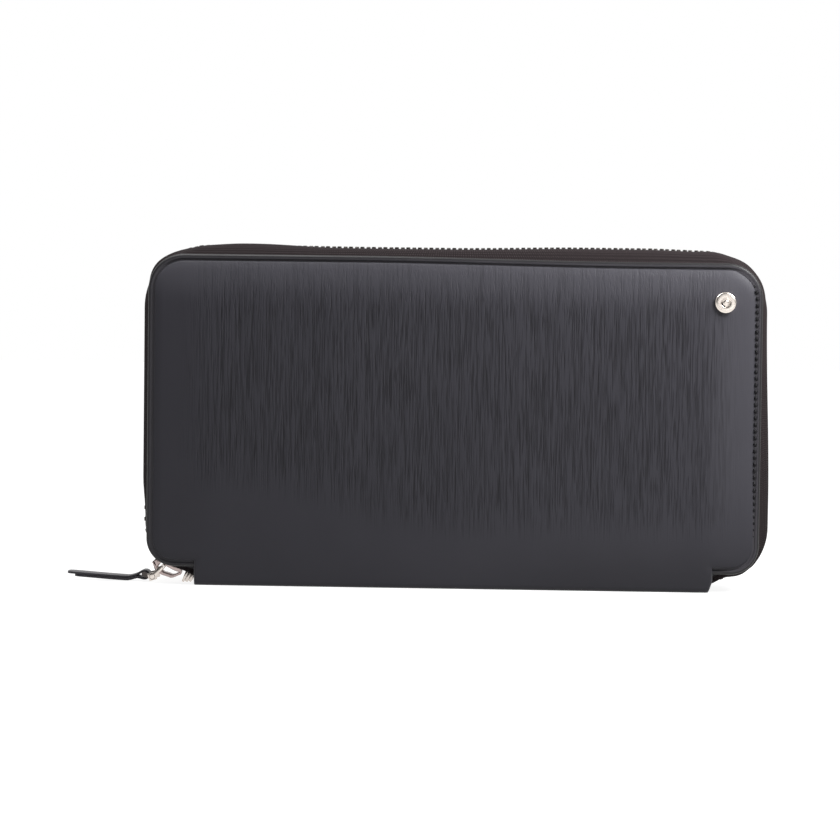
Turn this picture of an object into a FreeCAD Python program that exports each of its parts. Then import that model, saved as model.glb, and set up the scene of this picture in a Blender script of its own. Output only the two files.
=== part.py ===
# Zip-round leather case for fountain pens, standing closed on its spine. All sizes are in millimetres.
# The frame: +X runs along the spine, +Y from the front cover to the back cover and +Z up. The origin is the
# middle of the spine's underside, which rests on the table. Depths are distances from the zip's mid plane, Y = 0.
# A side is -1 for the front half and +1 for the back half, and an end is -1 on the left and +1 on the right.
import FreeCAD, Part
import math
import os
from collections import namedtuple

FRONT, BACK = -1, 1
LEFT, RIGHT = -1, 1
TOUCH = 0.01
V = FreeCAD.Vector
Outline = namedtuple("Outline", "half_length top bottom top_radius bottom_radius half_end")

# Covers
COVER_LENGTH = 196.0
COVER_TOP = 106.4
COVER_BOTTOM = 5.2
COVER_TOP_RADIUS = 8.5
COVER_BOTTOM_RADIUS = 11.0
CASE_DEPTH = 27.0
CROWN = 2.0
CROWN_FOOT_INSET = 2.6
CROWN_FACE_INSET = 6.5
NOTCH_INSET = 15.5

# Layers of a cover, from outside to inside
LEATHER = 1.4
TAPE = 0.8
LINING = 0.8
PADDING_INSET = 5.6
BOARD_INSET = 3.6
LINING_INSET = 1.8
LINING_CORNER = 17.0
LINING_FOOT_INSET = 1.0
LAYER_CLEARANCE = 0.1
LINING_FOOT = 4.5
BOARD_FOOT = 5.0

# Seam of a cover
THREAD_INSET = 1.9
THREAD_WIDTH = 0.6
THREAD_DEPTH = 0.45
GROOVE_CLEARANCE = 0.05
FLANGE_INSET = 1.0
FLANGE_WIDTH = 2.4
TAPE_WALL_INSET = 0.6

# Spine and its folds
FOLD_GAP = 0.1
SPINE_BOARD = 0.8
SPINE_BOARD_MARGIN = 4.5
SPINE_END_MARGIN = 2.5

# Zip
ZIP_SIDE_PROUD = 0.6
ZIP_TOP_PROUD = 1.8
ZIP_BOTTOM = 4.4
ZIP_TOP_RADIUS = 19.0
ZIP_BOTTOM_RADIUS = 16.0
TAPE_SWELL_SHARE = 0.7
TAPE_EDGE = 1.5
TOOTH_PITCH = 3.7
TOOTH_THICKNESS = 1.25
TOOTH_HEIGHT = 2.4
TOOTH_LEG_END = 3.2
TOOTH_HEAD = 1.4
TOOTH_ENGAGEMENT = 0.5
TOOTH_TIP_LENGTH = 0.4
TOOTH_TIP_DROP = 0.3
TAPE_CLEARANCE = 0.05

# Zip ends, which stay on the spine. Corner angles are counted from straight down towards the case's side.
END_ANGLE = 48.0
END_GAP_ANGLE = 1.5
END_TAPE_CLEARANCE = 1.5
END_TAPE_REACH = 9.0
ANCHOR_LENGTH = 7.0
STOP_FROM_ANGLE = 4.0
STOP_TO_ANGLE = 12.0
STOP_DEPTH = 2.7
STOP_INNER_DEPTH = 0.5
STOP_WALL = 0.6

# Slider, on the zip's lower left corner
SLIDER_FROM_ANGLE = 16.0
SLIDER_TO_ANGLE = 46.0
SLIDER_HALF_WIDTH = 4.6
SLIDER_CHANNEL = 3.2
SLIDER_PLATE = 1.2
SLIDER_LIP = 0.7
SLIDER_SLOT = 2.1
SLIDER_TAPE_CLEARANCE = 1.4
POST_FROM_ANGLE = 18.0
POST_TO_ANGLE = 23.0
POST_HALF_WIDTH = 1.1
CROWN_FROM_ANGLE = 22.0
CROWN_TO_ANGLE = 44.0
CROWN_HALF_WIDTH = 1.3
CROWN_GAP = 1.6
CROWN_STRAP = 0.8
CROWN_LEG_ANGLE = 3.0

# Pull ring and strap
RING_ANGLE = 36.0
RING_DIRECTION = -20.5
RING_LENGTH = 5.6
RING_NEAR_BAR = 0.6
RING_FAR_BAR = 1.0
RING_INSIDE_WIDTH = 7.0
RING_ARM = 1.2
STRAP_WIDTH = 6.4
STRAP_THICKNESS = 0.75
STRAP_LENGTH = 25.2
STRAP_STEP = 2.4
STRAP_NECK = 4.5
STRAP_DIRECTION = 3.0
STRAP_BORE_CLEARANCE = 0.1
STRAP_TIP_RADIUS = 1.6

# Corner stud of the front cover
STUD_FROM_SIDE = 12.1
STUD_FROM_TOP = 13.8
STUD_RADIUS = 3.4
STUD_THICKNESS = 0.9
STUD_EDGE = 0.35
STUD_RECESS_RADIUS = 1.45
STUD_RECESS_DEPTH = 0.55
POST_RADIUS = 1.0
POST_PROUD = 0.15
BURR_RADIUS = 2.6
BURR_THICKNESS = 0.6
POST_TAIL = 0.3
STUD_CLEARANCE = 0.05

# Inside of the case
PANEL = 0.8
PANEL_SIDE_MARGIN = 10.0
PANEL_TOP_MARGIN = 6.4
PANEL_BOTTOM = 9.0
PANEL_CORNER = 4.0
PEN_COUNT = 4
PEN_PITCH = 21.5
LOOP_INSIDE_WIDTH = 14.5
LOOP_LEG = 3.25
LOOP_CREST_CLEARANCE = 3.1
BAND = 1.0
BAND_WIDTH = 22.0
BAND_CENTRE = 38.0
BAND_END = 3.0
POCKET = 0.9
POCKET_GAP = 0.7
POCKET_SIDE_MARGIN = 13.0
POCKET_BOTTOM = 9.0
POCKET_HEIGHT = 69.0
POCKET_SEAM = 4.0

# Places worked out from the sizes above
FACE_DEPTH = CASE_DEPTH / 2
RIM_DEPTH = FACE_DEPTH - CROWN
SEAM_DEPTH = RIM_DEPTH - LEATHER
LINING_DEPTH = SEAM_DEPTH - TAPE
INSIDE_DEPTH = LINING_DEPTH - LINING
TAPE_STRAIGHT_DEPTH = SLIDER_HALF_WIDTH + SLIDER_TAPE_CLEARANCE
TAPE_SWELL_DEPTH = (TAPE_STRAIGHT_DEPTH + SEAM_DEPTH) / 2
END_TAPE_DEPTH = INSIDE_DEPTH - END_TAPE_CLEARANCE
FOLD_RADIUS = LEATHER / 2
FOLD_DEPTH = FACE_DEPTH - FOLD_RADIUS
LEATHER_FOOT = LEATHER + FOLD_GAP
HALF_FOOT = COVER_LENGTH / 2 - NOTCH_INSET
SPINE_LINING_TOP = LEATHER + SPINE_BOARD + LINING
COVER = Outline(COVER_LENGTH / 2, COVER_TOP, COVER_BOTTOM, COVER_TOP_RADIUS, COVER_BOTTOM_RADIUS, HALF_FOOT)
ZIP = Outline(
    COVER_LENGTH / 2 + ZIP_SIDE_PROUD,
    COVER_TOP + ZIP_TOP_PROUD,
    ZIP_BOTTOM,
    ZIP_TOP_RADIUS,
    ZIP_BOTTOM_RADIUS,
    HALF_FOOT - END_TAPE_REACH,
)
CORNER_X = ZIP.half_length - ZIP.bottom_radius
CORNER_Z = ZIP.bottom + ZIP.bottom_radius
LOOP_HEIGHT = 2 * INSIDE_DEPTH - PANEL - POCKET_GAP - POCKET - LOOP_CREST_CLEARANCE
PANEL_TOP = COVER_TOP - PANEL_TOP_MARGIN


# Basic shapes


def line(start, end):
    return Part.LineSegment(start, end).toShape()


def grown(outline, by):
    """The outline moved outwards by a distance."""
    return outline._replace(
        half_length=outline.half_length + by,
        top=outline.top + by,
        bottom=outline.bottom - by,
        top_radius=outline.top_radius + by,
        bottom_radius=outline.bottom_radius + by,
    )


def mixed(first, second, share):
    """An outline part of the way from one to another."""
    return Outline(*(a + (b - a) * share for a, b in zip(first, second)))


def path(outline, y):
    """Edges and ends of the open line from the left end, over the sides and the top, to the right end."""
    half, top, bottom, top_radius, bottom_radius, end = outline
    left = [
        V(-end, y, bottom),
        V(-half + bottom_radius, y, bottom),
        V(-half, y, bottom + bottom_radius),
        V(-half, y, top - top_radius),
        V(-half + top_radius, y, top),
    ]
    points = left + [V(-p.x, y, p.z) for p in reversed(left)]
    lower_bulge = bottom_radius * (1 - math.sqrt(0.5))
    upper_bulge = top_radius * (1 - math.sqrt(0.5))
    lower_x, lower_z = half - lower_bulge, bottom + lower_bulge
    upper_x, upper_z = half - upper_bulge, top - upper_bulge
    middles = {
        1: V(-lower_x, y, lower_z),
        3: V(-upper_x, y, upper_z),
        5: V(upper_x, y, upper_z),
        7: V(lower_x, y, lower_z),
    }
    edges = []
    for i, (start, stop) in enumerate(zip(points, points[1:])):
        if i in middles:
            edges.append(Part.Arc(start, middles[i], stop).toShape())
        else:
            edges.append(line(start, stop))
    return edges, points[0], points[-1]


def plan(outline, foot, y):
    """Closed wire of a cover's layer: the outline, closed below by a foot between its ends."""
    edges, start, end = path(outline, y)
    corners = [end, V(end.x, y, foot), V(start.x, y, foot), start]
    return Part.Wire(edges + [line(a, b) for a, b in zip(corners, corners[1:])])


def layer(outline, foot, side, outer, inner):
    """A flat layer of a cover between two depths."""
    return Part.Face(plan(outline, foot, side * outer)).extrude(V(0, side * (inner - outer), 0))


def band(outline, outside, inside, y):
    """Closed wire of the strip along an outline, from a distance outside it to a distance inside it."""
    outer, outer_start, outer_end = path(grown(outline, outside), y)
    inner, inner_start, inner_end = path(grown(outline, -inside), y)
    edges = outer + [line(outer_end, inner_end)] + inner[::-1] + [line(inner_start, outer_start)]
    return Part.Wire(edges)


def strip(outline, outside, inside, side, outer, inner):
    """A strip along an outline, between two depths."""
    return Part.Face(band(outline, outside, inside, side * outer)).extrude(V(0, side * (inner - outer), 0))


def block(x0, x1, depth0, depth1, z0, z1, side=1):
    """A box between two depths on one side of the mid plane."""
    y0, y1 = sorted((side * depth0, side * depth1))
    return Part.makeBox(x1 - x0, y1 - y0, z1 - z0, V(x0, y0, z0))


def rod(radius, length, centre, along=V(0, 1, 0)):
    """A cylinder centred on a point."""
    return Part.makeCylinder(radius, length, centre - along * (length / 2), along)


def prism(points, width):
    """A profile of (x, z) points, given a width across the mid plane."""
    corners = [V(x, -width / 2, z) for x, z in points]
    return Part.Face(Part.makePolygon(corners + corners[:1])).extrude(V(0, width, 0))


def rounded_plate(x0, x1, z0, z1, corner, side, outer, inner):
    """A flat plate with round corners, between two depths."""
    plate = block(x0, x1, outer, inner, z0, z1, side)
    upright = [e for e in plate.Edges if abs(e.Vertexes[0].Y - e.Vertexes[-1].Y) > abs(outer - inner) / 2]
    return plate.makeFillet(corner, upright)


def joined(shapes):
    """One solid from shapes that meet."""
    return shapes[0].multiFuse(shapes[1:]).removeSplitter()


# Covers and their layers


def cover_leather(side):
    """Outer leather: a padded field on a flat rim with a seam groove, running down to the spine's fold."""
    field_foot = plan(grown(COVER, -CROWN_FOOT_INSET), LEATHER_FOOT, side * RIM_DEPTH)
    field_face = plan(grown(COVER, -CROWN_FACE_INSET), LEATHER_FOOT, side * FACE_DEPTH)
    field = Part.makeLoft([field_foot, field_face], True, True)
    base = layer(grown(COVER, -CROWN_FOOT_INSET), LEATHER_FOOT, side, RIM_DEPTH, SEAM_DEPTH)
    rim = strip(COVER, 0, PADDING_INSET, side, RIM_DEPTH, SEAM_DEPTH)
    hollow = layer(padding_outline(0), -LEATHER, side, FACE_DEPTH - LEATHER, SEAM_DEPTH)
    half_groove = THREAD_WIDTH / 2 + GROOVE_CLEARANCE
    groove_bed = RIM_DEPTH - THREAD_DEPTH - GROOVE_CLEARANCE
    groove = strip(grown(COVER, -THREAD_INSET), half_groove, half_groove, side, RIM_DEPTH, groove_bed)
    return joined([rim, base, field]).cut(hollow).cut(groove)


def padding_outline(clearance):
    """The room that the padding takes under the leather, less a clearance."""
    inset = grown(COVER, -PADDING_INSET - clearance)
    return inset._replace(half_end=HALF_FOOT - LEATHER - clearance)


def cover_padding(side):
    return layer(padding_outline(LAYER_CLEARANCE), SPINE_LINING_TOP, side, FACE_DEPTH - LEATHER, SEAM_DEPTH)


def cover_board(side):
    outline = grown(COVER, -BOARD_INSET)._replace(half_end=HALF_FOOT - LEATHER - LAYER_CLEARANCE)
    return layer(outline, BOARD_FOOT, side, SEAM_DEPTH, LINING_DEPTH)


def cover_lining(side):
    inset = grown(COVER, -LINING_INSET)
    outline = inset._replace(
        top_radius=LINING_CORNER,
        bottom_radius=LINING_CORNER,
        half_end=inset.half_length - LINING_CORNER - LINING_FOOT_INSET,
    )
    return layer(outline, LINING_FOOT, side, LINING_DEPTH, INSIDE_DEPTH)


def seam_thread(side):
    """The lockstitch line that lies in the seam groove."""
    seam = grown(COVER, -THREAD_INSET)
    return strip(seam, THREAD_WIDTH / 2, THREAD_WIDTH / 2, side, RIM_DEPTH, RIM_DEPTH - THREAD_DEPTH)


# Zip


def corner_sector(inner_radius, outer_radius, y0, y1, from_angle, to_angle, end=LEFT):
    """A curved block about the zip's lower left or right corner."""
    centre = V(end * CORNER_X, 0, CORNER_Z)
    section = ((inner_radius, y0), (inner_radius, y1), (outer_radius, y1), (outer_radius, y0))
    corners = [V(centre.x, y, centre.z - radius) for radius, y in section]
    face = Part.Face(Part.makePolygon(corners + corners[:1]))
    face.rotate(centre, V(0, 1, 0), -end * from_angle)
    return face.revolve(centre, V(0, 1, 0), -end * (to_angle - from_angle))


def below_corner(end):
    """The room under a lower corner that belongs to the zip's end."""
    reach = ZIP.bottom_radius * 3
    turn = math.radians(END_ANGLE)
    side = end * reach * math.sin(turn)
    middle = -end * reach
    points = [(0, 0), (side, -reach * math.cos(turn)), (side, -reach), (middle, -reach), (middle, 0)]
    return prism([(end * CORNER_X + x, CORNER_Z + z) for x, z in points], 2 * CASE_DEPTH)


def zip_tape(side):
    """Tape of one half: a flange in the cover's seam and a wall that swells out to the teeth."""
    flange = strip(grown(COVER, -FLANGE_INSET), 0, FLANGE_WIDTH, side, SEAM_DEPTH, LINING_DEPTH)
    seam_line = grown(COVER, -TAPE_WALL_INSET - TAPE / 2)._replace(half_end=ZIP.half_end)
    stages = [
        (seam_line, SEAM_DEPTH),
        (mixed(seam_line, ZIP, TAPE_SWELL_SHARE), TAPE_SWELL_DEPTH),
        (ZIP, TAPE_STRAIGHT_DEPTH),
        (ZIP, TAPE_EDGE),
    ]
    sections = [band(outline, TAPE / 2, TAPE / 2, side * depth) for outline, depth in stages]
    whole = joined([flange, Part.makeLoft(sections, True, True)])
    return whole.cut(below_corner(LEFT)).cut(below_corner(RIGHT))


def zip_station(distance):
    """Place and turn of the zip's line at a distance from the middle of its top, to the right when positive."""
    sign = 1 if distance >= 0 else -1
    left = abs(distance)
    top_run = ZIP.half_length - ZIP.top_radius
    side_run = ZIP.top - ZIP.top_radius - CORNER_Z
    top_arc = ZIP.top_radius * math.pi / 2
    if left <= top_run:
        return sign * left, ZIP.top, 0.0
    left -= top_run
    if left <= top_arc:
        turn = left / ZIP.top_radius
        x = top_run + ZIP.top_radius * math.sin(turn)
        return sign * x, ZIP.top - ZIP.top_radius * (1 - math.cos(turn)), sign * math.degrees(turn)
    left -= top_arc
    if left <= side_run:
        return sign * ZIP.half_length, ZIP.top - ZIP.top_radius - left, sign * 90.0
    turn = (left - side_run) / ZIP.bottom_radius
    x = CORNER_X + ZIP.bottom_radius * math.cos(turn)
    return sign * x, CORNER_Z - ZIP.bottom_radius * math.sin(turn), sign * (90.0 + math.degrees(turn))


def zip_distance(angle):
    """Distance along the zip, from the middle of the top, to an angle on a lower corner."""
    top_run = ZIP.half_length - ZIP.top_radius
    side_run = ZIP.top - ZIP.top_radius - CORNER_Z
    return top_run + ZIP.top_radius * math.pi / 2 + side_run + ZIP.bottom_radius * math.radians(90.0 - angle)


def tooth(side, distance):
    """One tooth: a head that reaches just past the mid plane and two legs that clamp the tape's edge."""
    half = TOOTH_HEIGHT / 2
    slot = TAPE / 2 + TAPE_CLEARANCE
    tip = -TOOTH_ENGAGEMENT / 2
    upper = [
        (tip, half - TOOTH_TIP_DROP),
        (tip + TOOTH_TIP_LENGTH, half),
        (TOOTH_LEG_END, half),
        (TOOTH_LEG_END, slot),
        (TOOTH_HEAD, slot),
    ]
    profile = upper + [(depth, -height) for depth, height in reversed(upper)]
    corners = [V(-TOOTH_THICKNESS / 2, side * depth, height) for depth, height in profile]
    solid = Part.Face(Part.makePolygon(corners + corners[:1])).extrude(V(TOOTH_THICKNESS, 0, 0))
    x, z, turn = zip_station(distance)
    solid.rotate(V(0, 0, 0), V(0, 1, 0), turn)
    solid.translate(V(x, 0, z))
    return solid


def tooth_distances(side, low, high):
    """Where one half's teeth stand between two distances. The halves stand half a pitch apart."""
    start = 0.0 if side == FRONT else TOOTH_PITCH / 2
    first = math.ceil((low + TOOTH_THICKNESS / 2 - start) / TOOTH_PITCH)
    last = math.floor((high - TOOTH_THICKNESS / 2 - start) / TOOTH_PITCH)
    return [start + TOOTH_PITCH * i for i in range(first, last + 1)]


def teeth(side, low, high):
    return [tooth(side, distance) for distance in tooth_distances(side, low, high)]


def tape_end(end):
    """The two tape ends that stay on the spine, round the corner and into the foot."""
    inner, outer = ZIP.bottom_radius - TAPE / 2, ZIP.bottom_radius + TAPE / 2
    strips = []
    for side in (FRONT, BACK):
        y0, y1 = side * TAPE_EDGE, side * END_TAPE_DEPTH
        bend = corner_sector(inner, outer, y0, y1, 0, END_ANGLE - END_GAP_ANGLE, end)
        x0, x1 = sorted((end * CORNER_X, end * ZIP.half_end))
        run = block(x0, x1, TAPE_EDGE, END_TAPE_DEPTH, ZIP.bottom - TAPE / 2, ZIP.bottom + TAPE / 2, side)
        strips.append(joined([bend, run]))
    return strips


def zip_anchor(end):
    """Leather tab that fixes the tape ends to the spine's lining."""
    x0, x1 = sorted((end * ZIP.half_end, end * (ZIP.half_end + ANCHOR_LENGTH)))
    return block(x0, x1, -END_TAPE_DEPTH, END_TAPE_DEPTH, SPINE_LINING_TOP, ZIP.bottom - TAPE / 2)


def stop_clip(y0, y1, end):
    """A metal clip round the tape's edge, from one depth to another, beside the foot."""
    slot = TAPE / 2 + TAPE_CLEARANCE
    low, high = ZIP.bottom_radius - slot - STOP_WALL, ZIP.bottom_radius + slot + STOP_WALL
    return corner_sector(low, high, y0, y1, STOP_FROM_ANGLE, STOP_TO_ANGLE, end)


def stop_slot(side, end):
    """The room that the tape's edge takes in a stop."""
    slot = TAPE / 2 + TAPE_CLEARANCE
    low, high = ZIP.bottom_radius - slot, ZIP.bottom_radius + slot
    edge = TAPE_EDGE - TAPE_CLEARANCE
    return corner_sector(low, high, side * edge, side * END_TAPE_DEPTH, 0, END_ANGLE, end)


def top_stops():
    clips = []
    for side in (FRONT, BACK):
        clip = stop_clip(side * STOP_INNER_DEPTH, side * STOP_DEPTH, LEFT)
        clips.append(clip.cut(stop_slot(side, LEFT)))
    return clips


def bottom_stop():
    clip = stop_clip(-STOP_DEPTH, STOP_DEPTH, RIGHT)
    return clip.cut(stop_slot(FRONT, RIGHT)).cut(stop_slot(BACK, RIGHT))


# Slider and its pull

CHANNEL_INNER = ZIP.bottom_radius - SLIDER_CHANNEL / 2
CHANNEL_OUTER = ZIP.bottom_radius + SLIDER_CHANNEL / 2
SLIDER_OUTER = CHANNEL_OUTER + SLIDER_PLATE


def slider_sector(inner, outer, y0, y1):
    return corner_sector(inner, outer, y0, y1, SLIDER_FROM_ANGLE, SLIDER_TO_ANGLE)


def slider_body():
    """Two plates held apart by a post, with lips that guide the tapes."""
    wide, slot, post = SLIDER_HALF_WIDTH, SLIDER_SLOT / 2, POST_HALF_WIDTH
    pieces = [
        slider_sector(CHANNEL_OUTER, SLIDER_OUTER, -wide, wide),
        slider_sector(CHANNEL_INNER - SLIDER_PLATE, CHANNEL_INNER, -wide, wide),
        corner_sector(CHANNEL_INNER, CHANNEL_OUTER, -post, post, POST_FROM_ANGLE, POST_TO_ANGLE),
    ]
    for side in (FRONT, BACK):
        y0, y1 = side * (wide - SLIDER_LIP), side * wide
        pieces.append(slider_sector(ZIP.bottom_radius + slot, CHANNEL_OUTER, y0, y1))
        pieces.append(slider_sector(CHANNEL_INNER, ZIP.bottom_radius - slot, y0, y1))
    return joined(pieces)


def slider_crown():
    """The arch on the outer plate that the pull ring hangs in."""
    under, over = SLIDER_OUTER + CROWN_GAP, SLIDER_OUTER + CROWN_GAP + CROWN_STRAP
    wide = CROWN_HALF_WIDTH
    return joined([
        corner_sector(under, over, -wide, wide, CROWN_FROM_ANGLE, CROWN_TO_ANGLE),
        corner_sector(SLIDER_OUTER, under, -wide, wide, CROWN_FROM_ANGLE, CROWN_FROM_ANGLE + CROWN_LEG_ANGLE),
        corner_sector(SLIDER_OUTER, under, -wide, wide, CROWN_TO_ANGLE - CROWN_LEG_ANGLE, CROWN_TO_ANGLE),
    ])


def ring_pivot():
    """Centre of the ring's near bar, in the middle of the crown's gap."""
    radius = SLIDER_OUTER + CROWN_GAP / 2
    angle = math.radians(RING_ANGLE)
    return V(-CORNER_X - radius * math.sin(angle), 0, CORNER_Z - radius * math.cos(angle))


def strap_pivot():
    """Centre of the ring's far bar."""
    turn = math.radians(RING_DIRECTION)
    return ring_pivot() + V(-math.cos(turn), 0, math.sin(turn)) * RING_LENGTH


def pull_ring():
    """Oblong ring: a thin bar in the crown, a thick bar in the strap and two arms between them."""
    outside = RING_INSIDE_WIDTH + 2 * RING_ARM
    far_x = -RING_LENGTH
    near, far = RING_NEAR_BAR, RING_FAR_BAR
    arm = prism([(near, -near), (near, near), (far_x - far, far), (far_x - far, -far)], RING_ARM)
    arms = []
    for side in (FRONT, BACK):
        copy = arm.copy()
        copy.translate(V(0, side * (RING_INSIDE_WIDTH + RING_ARM) / 2, 0))
        arms.append(copy)
    ring = joined(arms + [rod(near, outside, V(0, 0, 0)), rod(far, outside, V(far_x, 0, 0))])
    ring.rotate(V(0, 0, 0), V(0, 1, 0), RING_DIRECTION)
    ring.translate(ring_pivot())
    return ring


def rounded_tip(blade, tip_x):
    """A blade with the two corners at its tip rounded."""
    corners = [e for e in blade.Edges if e.BoundBox.XMax < tip_x + TOUCH and e.BoundBox.YLength < TOUCH]
    return blade.makeFillet(STRAP_TIP_RADIUS, corners)


def pull_strap():
    """Leather strip folded round the ring's far bar, with its upper layer longer than its lower one."""
    bore = RING_FAR_BAR + STRAP_BORE_CLEARANCE
    eye = bore + STRAP_THICKNESS
    thin = STRAP_THICKNESS
    upper_tip, lower_tip = -STRAP_LENGTH, -STRAP_LENGTH + STRAP_STEP
    upper = prism([(0, 0), (0, eye), (-STRAP_NECK, thin), (upper_tip, thin), (upper_tip, 0)], STRAP_WIDTH)
    lower = prism([(0, 0), (0, -eye), (-STRAP_NECK, -thin), (lower_tip, -thin), (lower_tip, 0)], STRAP_WIDTH)
    layers = [rounded_tip(upper, upper_tip), rounded_tip(lower, lower_tip), rod(eye, STRAP_WIDTH, V(0, 0, 0))]
    strap = joined(layers).cut(rod(bore, STRAP_WIDTH, V(0, 0, 0)))
    strap.rotate(V(0, 0, 0), V(0, 1, 0), STRAP_DIRECTION)
    strap.translate(strap_pivot())
    return strap


# Corner stud


def stud_rod(radius, outer, inner):
    """A cylinder on the stud's axis between two depths of the front cover."""
    centre = V(COVER.half_length - STUD_FROM_SIDE, -outer, COVER_TOP - STUD_FROM_TOP)
    return Part.makeCylinder(radius, outer - inner, centre, V(0, 1, 0))


def stud_cap():
    """Round disc on the leather, with a recess about the post."""
    outer = FACE_DEPTH + STUD_THICKNESS
    disc = stud_rod(STUD_RADIUS, outer, FACE_DEPTH)
    rim = [e for e in disc.Edges if e.BoundBox.YMax < -outer + TOUCH]
    disc = disc.makeFillet(STUD_EDGE, rim)
    recess = stud_rod(STUD_RECESS_RADIUS, outer, outer - STUD_RECESS_DEPTH)
    return disc.cut(recess).cut(stud_rod(POST_RADIUS + STUD_CLEARANCE, outer, FACE_DEPTH))


def stud_post():
    tail = FACE_DEPTH - LEATHER - BURR_THICKNESS - POST_TAIL
    return stud_rod(POST_RADIUS, FACE_DEPTH + STUD_THICKNESS + POST_PROUD, tail)


def stud_burr():
    """Washer under the leather that the post is riveted over."""
    outer, inner = FACE_DEPTH - LEATHER, FACE_DEPTH - LEATHER - BURR_THICKNESS
    return stud_rod(BURR_RADIUS, outer, inner).cut(stud_rod(POST_RADIUS + STUD_CLEARANCE, outer, inner))


def stud_hole():
    """Hole through the leather for the post."""
    return stud_rod(POST_RADIUS + STUD_CLEARANCE, FACE_DEPTH, FACE_DEPTH - LEATHER)


def stud_room():
    """Room in the padding for the washer and the post's tail."""
    outer = FACE_DEPTH - LEATHER
    return stud_rod(BURR_RADIUS + STUD_CLEARANCE, outer, outer - BURR_THICKNESS - POST_TAIL - STUD_CLEARANCE)


# Spine


def spine_leather():
    """Strip under the case, whose round long edges are the folds that the covers turn on."""
    plate = block(-HALF_FOOT, HALF_FOOT, -FOLD_DEPTH, FOLD_DEPTH, 0, LEATHER)
    along = V(1, 0, 0)
    middles = [V(0, side * FOLD_DEPTH, FOLD_RADIUS) for side in (FRONT, BACK)]
    return joined([plate] + [rod(FOLD_RADIUS, 2 * HALF_FOOT, middle, along) for middle in middles])


def spine_strip(bottom, top):
    half_x, half_y = HALF_FOOT - SPINE_END_MARGIN, FOLD_DEPTH - SPINE_BOARD_MARGIN
    return block(-half_x, half_x, -half_y, half_y, bottom, top)


# Inside


def pen_panel():
    half = COVER.half_length - PANEL_SIDE_MARGIN
    inner = INSIDE_DEPTH - PANEL
    return rounded_plate(-half, half, PANEL_BOTTOM, PANEL_TOP, PANEL_CORNER, BACK, INSIDE_DEPTH, inner)


def pen_heights():
    """Middle height of each pen."""
    middle = (PANEL_BOTTOM + PANEL_TOP) / 2
    return [middle + PEN_PITCH * (i - (PEN_COUNT - 1) / 2) for i in range(PEN_COUNT)]


def arch(half_width, height, z, x0, x1):
    """A tunnel on the pen panel: a round or oval crown on two short legs."""
    foot = INSIDE_DEPTH - PANEL
    crest = foot - height
    shoulder = foot - LOOP_LEG
    corners = [
        V(x0, shoulder, z - half_width),
        V(x0, foot, z - half_width),
        V(x0, foot, z + half_width),
        V(x0, shoulder, z + half_width),
    ]
    edges = [line(a, b) for a, b in zip(corners, corners[1:])]
    edges += oval_crown(V(x0, shoulder, z), half_width, shoulder - crest)
    return Part.Face(Part.Wire(edges)).extrude(V(x1 - x0, 0, 0))


def oval_crown(centre, half_width, rise):
    """Half an oval from one leg over the crest to the other."""
    across, up = V(0, 0, half_width), V(0, -rise, 0)
    longer, shorter = (across, up) if half_width >= rise else (up, across)
    oval = Part.Ellipse(centre + longer, centre + shorter, centre)
    crest = centre + up
    quarters = []
    for start, end in ((centre + across, crest), (crest, centre - across)):
        first, last = oval.parameter(start), oval.parameter(end)
        quarters.append(short_arc(oval, first, last))
    return quarters


def short_arc(oval, first, last):
    """The shorter stretch of an oval between two places on it."""
    turn = (last - first) % (2 * math.pi)
    if turn <= math.pi:
        return Part.ArcOfEllipse(oval, first, first + turn).toShape()
    return Part.ArcOfEllipse(oval, last, last + 2 * math.pi - turn).toShape()


def pen_band(centre):
    """Elastic sewn down between the pens, standing up in a loop over each."""
    x0, x1 = centre - BAND_WIDTH / 2, centre + BAND_WIDTH / 2
    foot = INSIDE_DEPTH - PANEL
    inside = LOOP_INSIDE_WIDTH / 2
    heights = pen_heights()
    reach = inside + BAND + BAND_END
    pieces = [block(x0, x1, foot - BAND, foot, heights[0] - reach, heights[-1] + reach)]
    pieces += [arch(inside + BAND, LOOP_HEIGHT, z, x0, x1) for z in heights]
    band_solid = joined(pieces)
    for z in heights:
        band_solid = band_solid.cut(arch(inside, LOOP_HEIGHT - BAND, z, x0, x1))
    return band_solid


def slip_pocket():
    """Leather sheet sewn to the front lining along its sides and bottom, open at the top."""
    half = COVER.half_length - POCKET_SIDE_MARGIN
    top = POCKET_BOTTOM + POCKET_HEIGHT
    front = INSIDE_DEPTH - POCKET_GAP
    sheet = block(-half, half, front, front - POCKET, POCKET_BOTTOM, top, FRONT)
    seams = [
        block(-half, -half + POCKET_SEAM, INSIDE_DEPTH, front, POCKET_BOTTOM, top, FRONT),
        block(half - POCKET_SEAM, half, INSIDE_DEPTH, front, POCKET_BOTTOM, top, FRONT),
        block(-half, half, INSIDE_DEPTH, front, POCKET_BOTTOM, POCKET_BOTTOM + POCKET_SEAM, FRONT),
    ]
    return joined([sheet] + seams)


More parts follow.
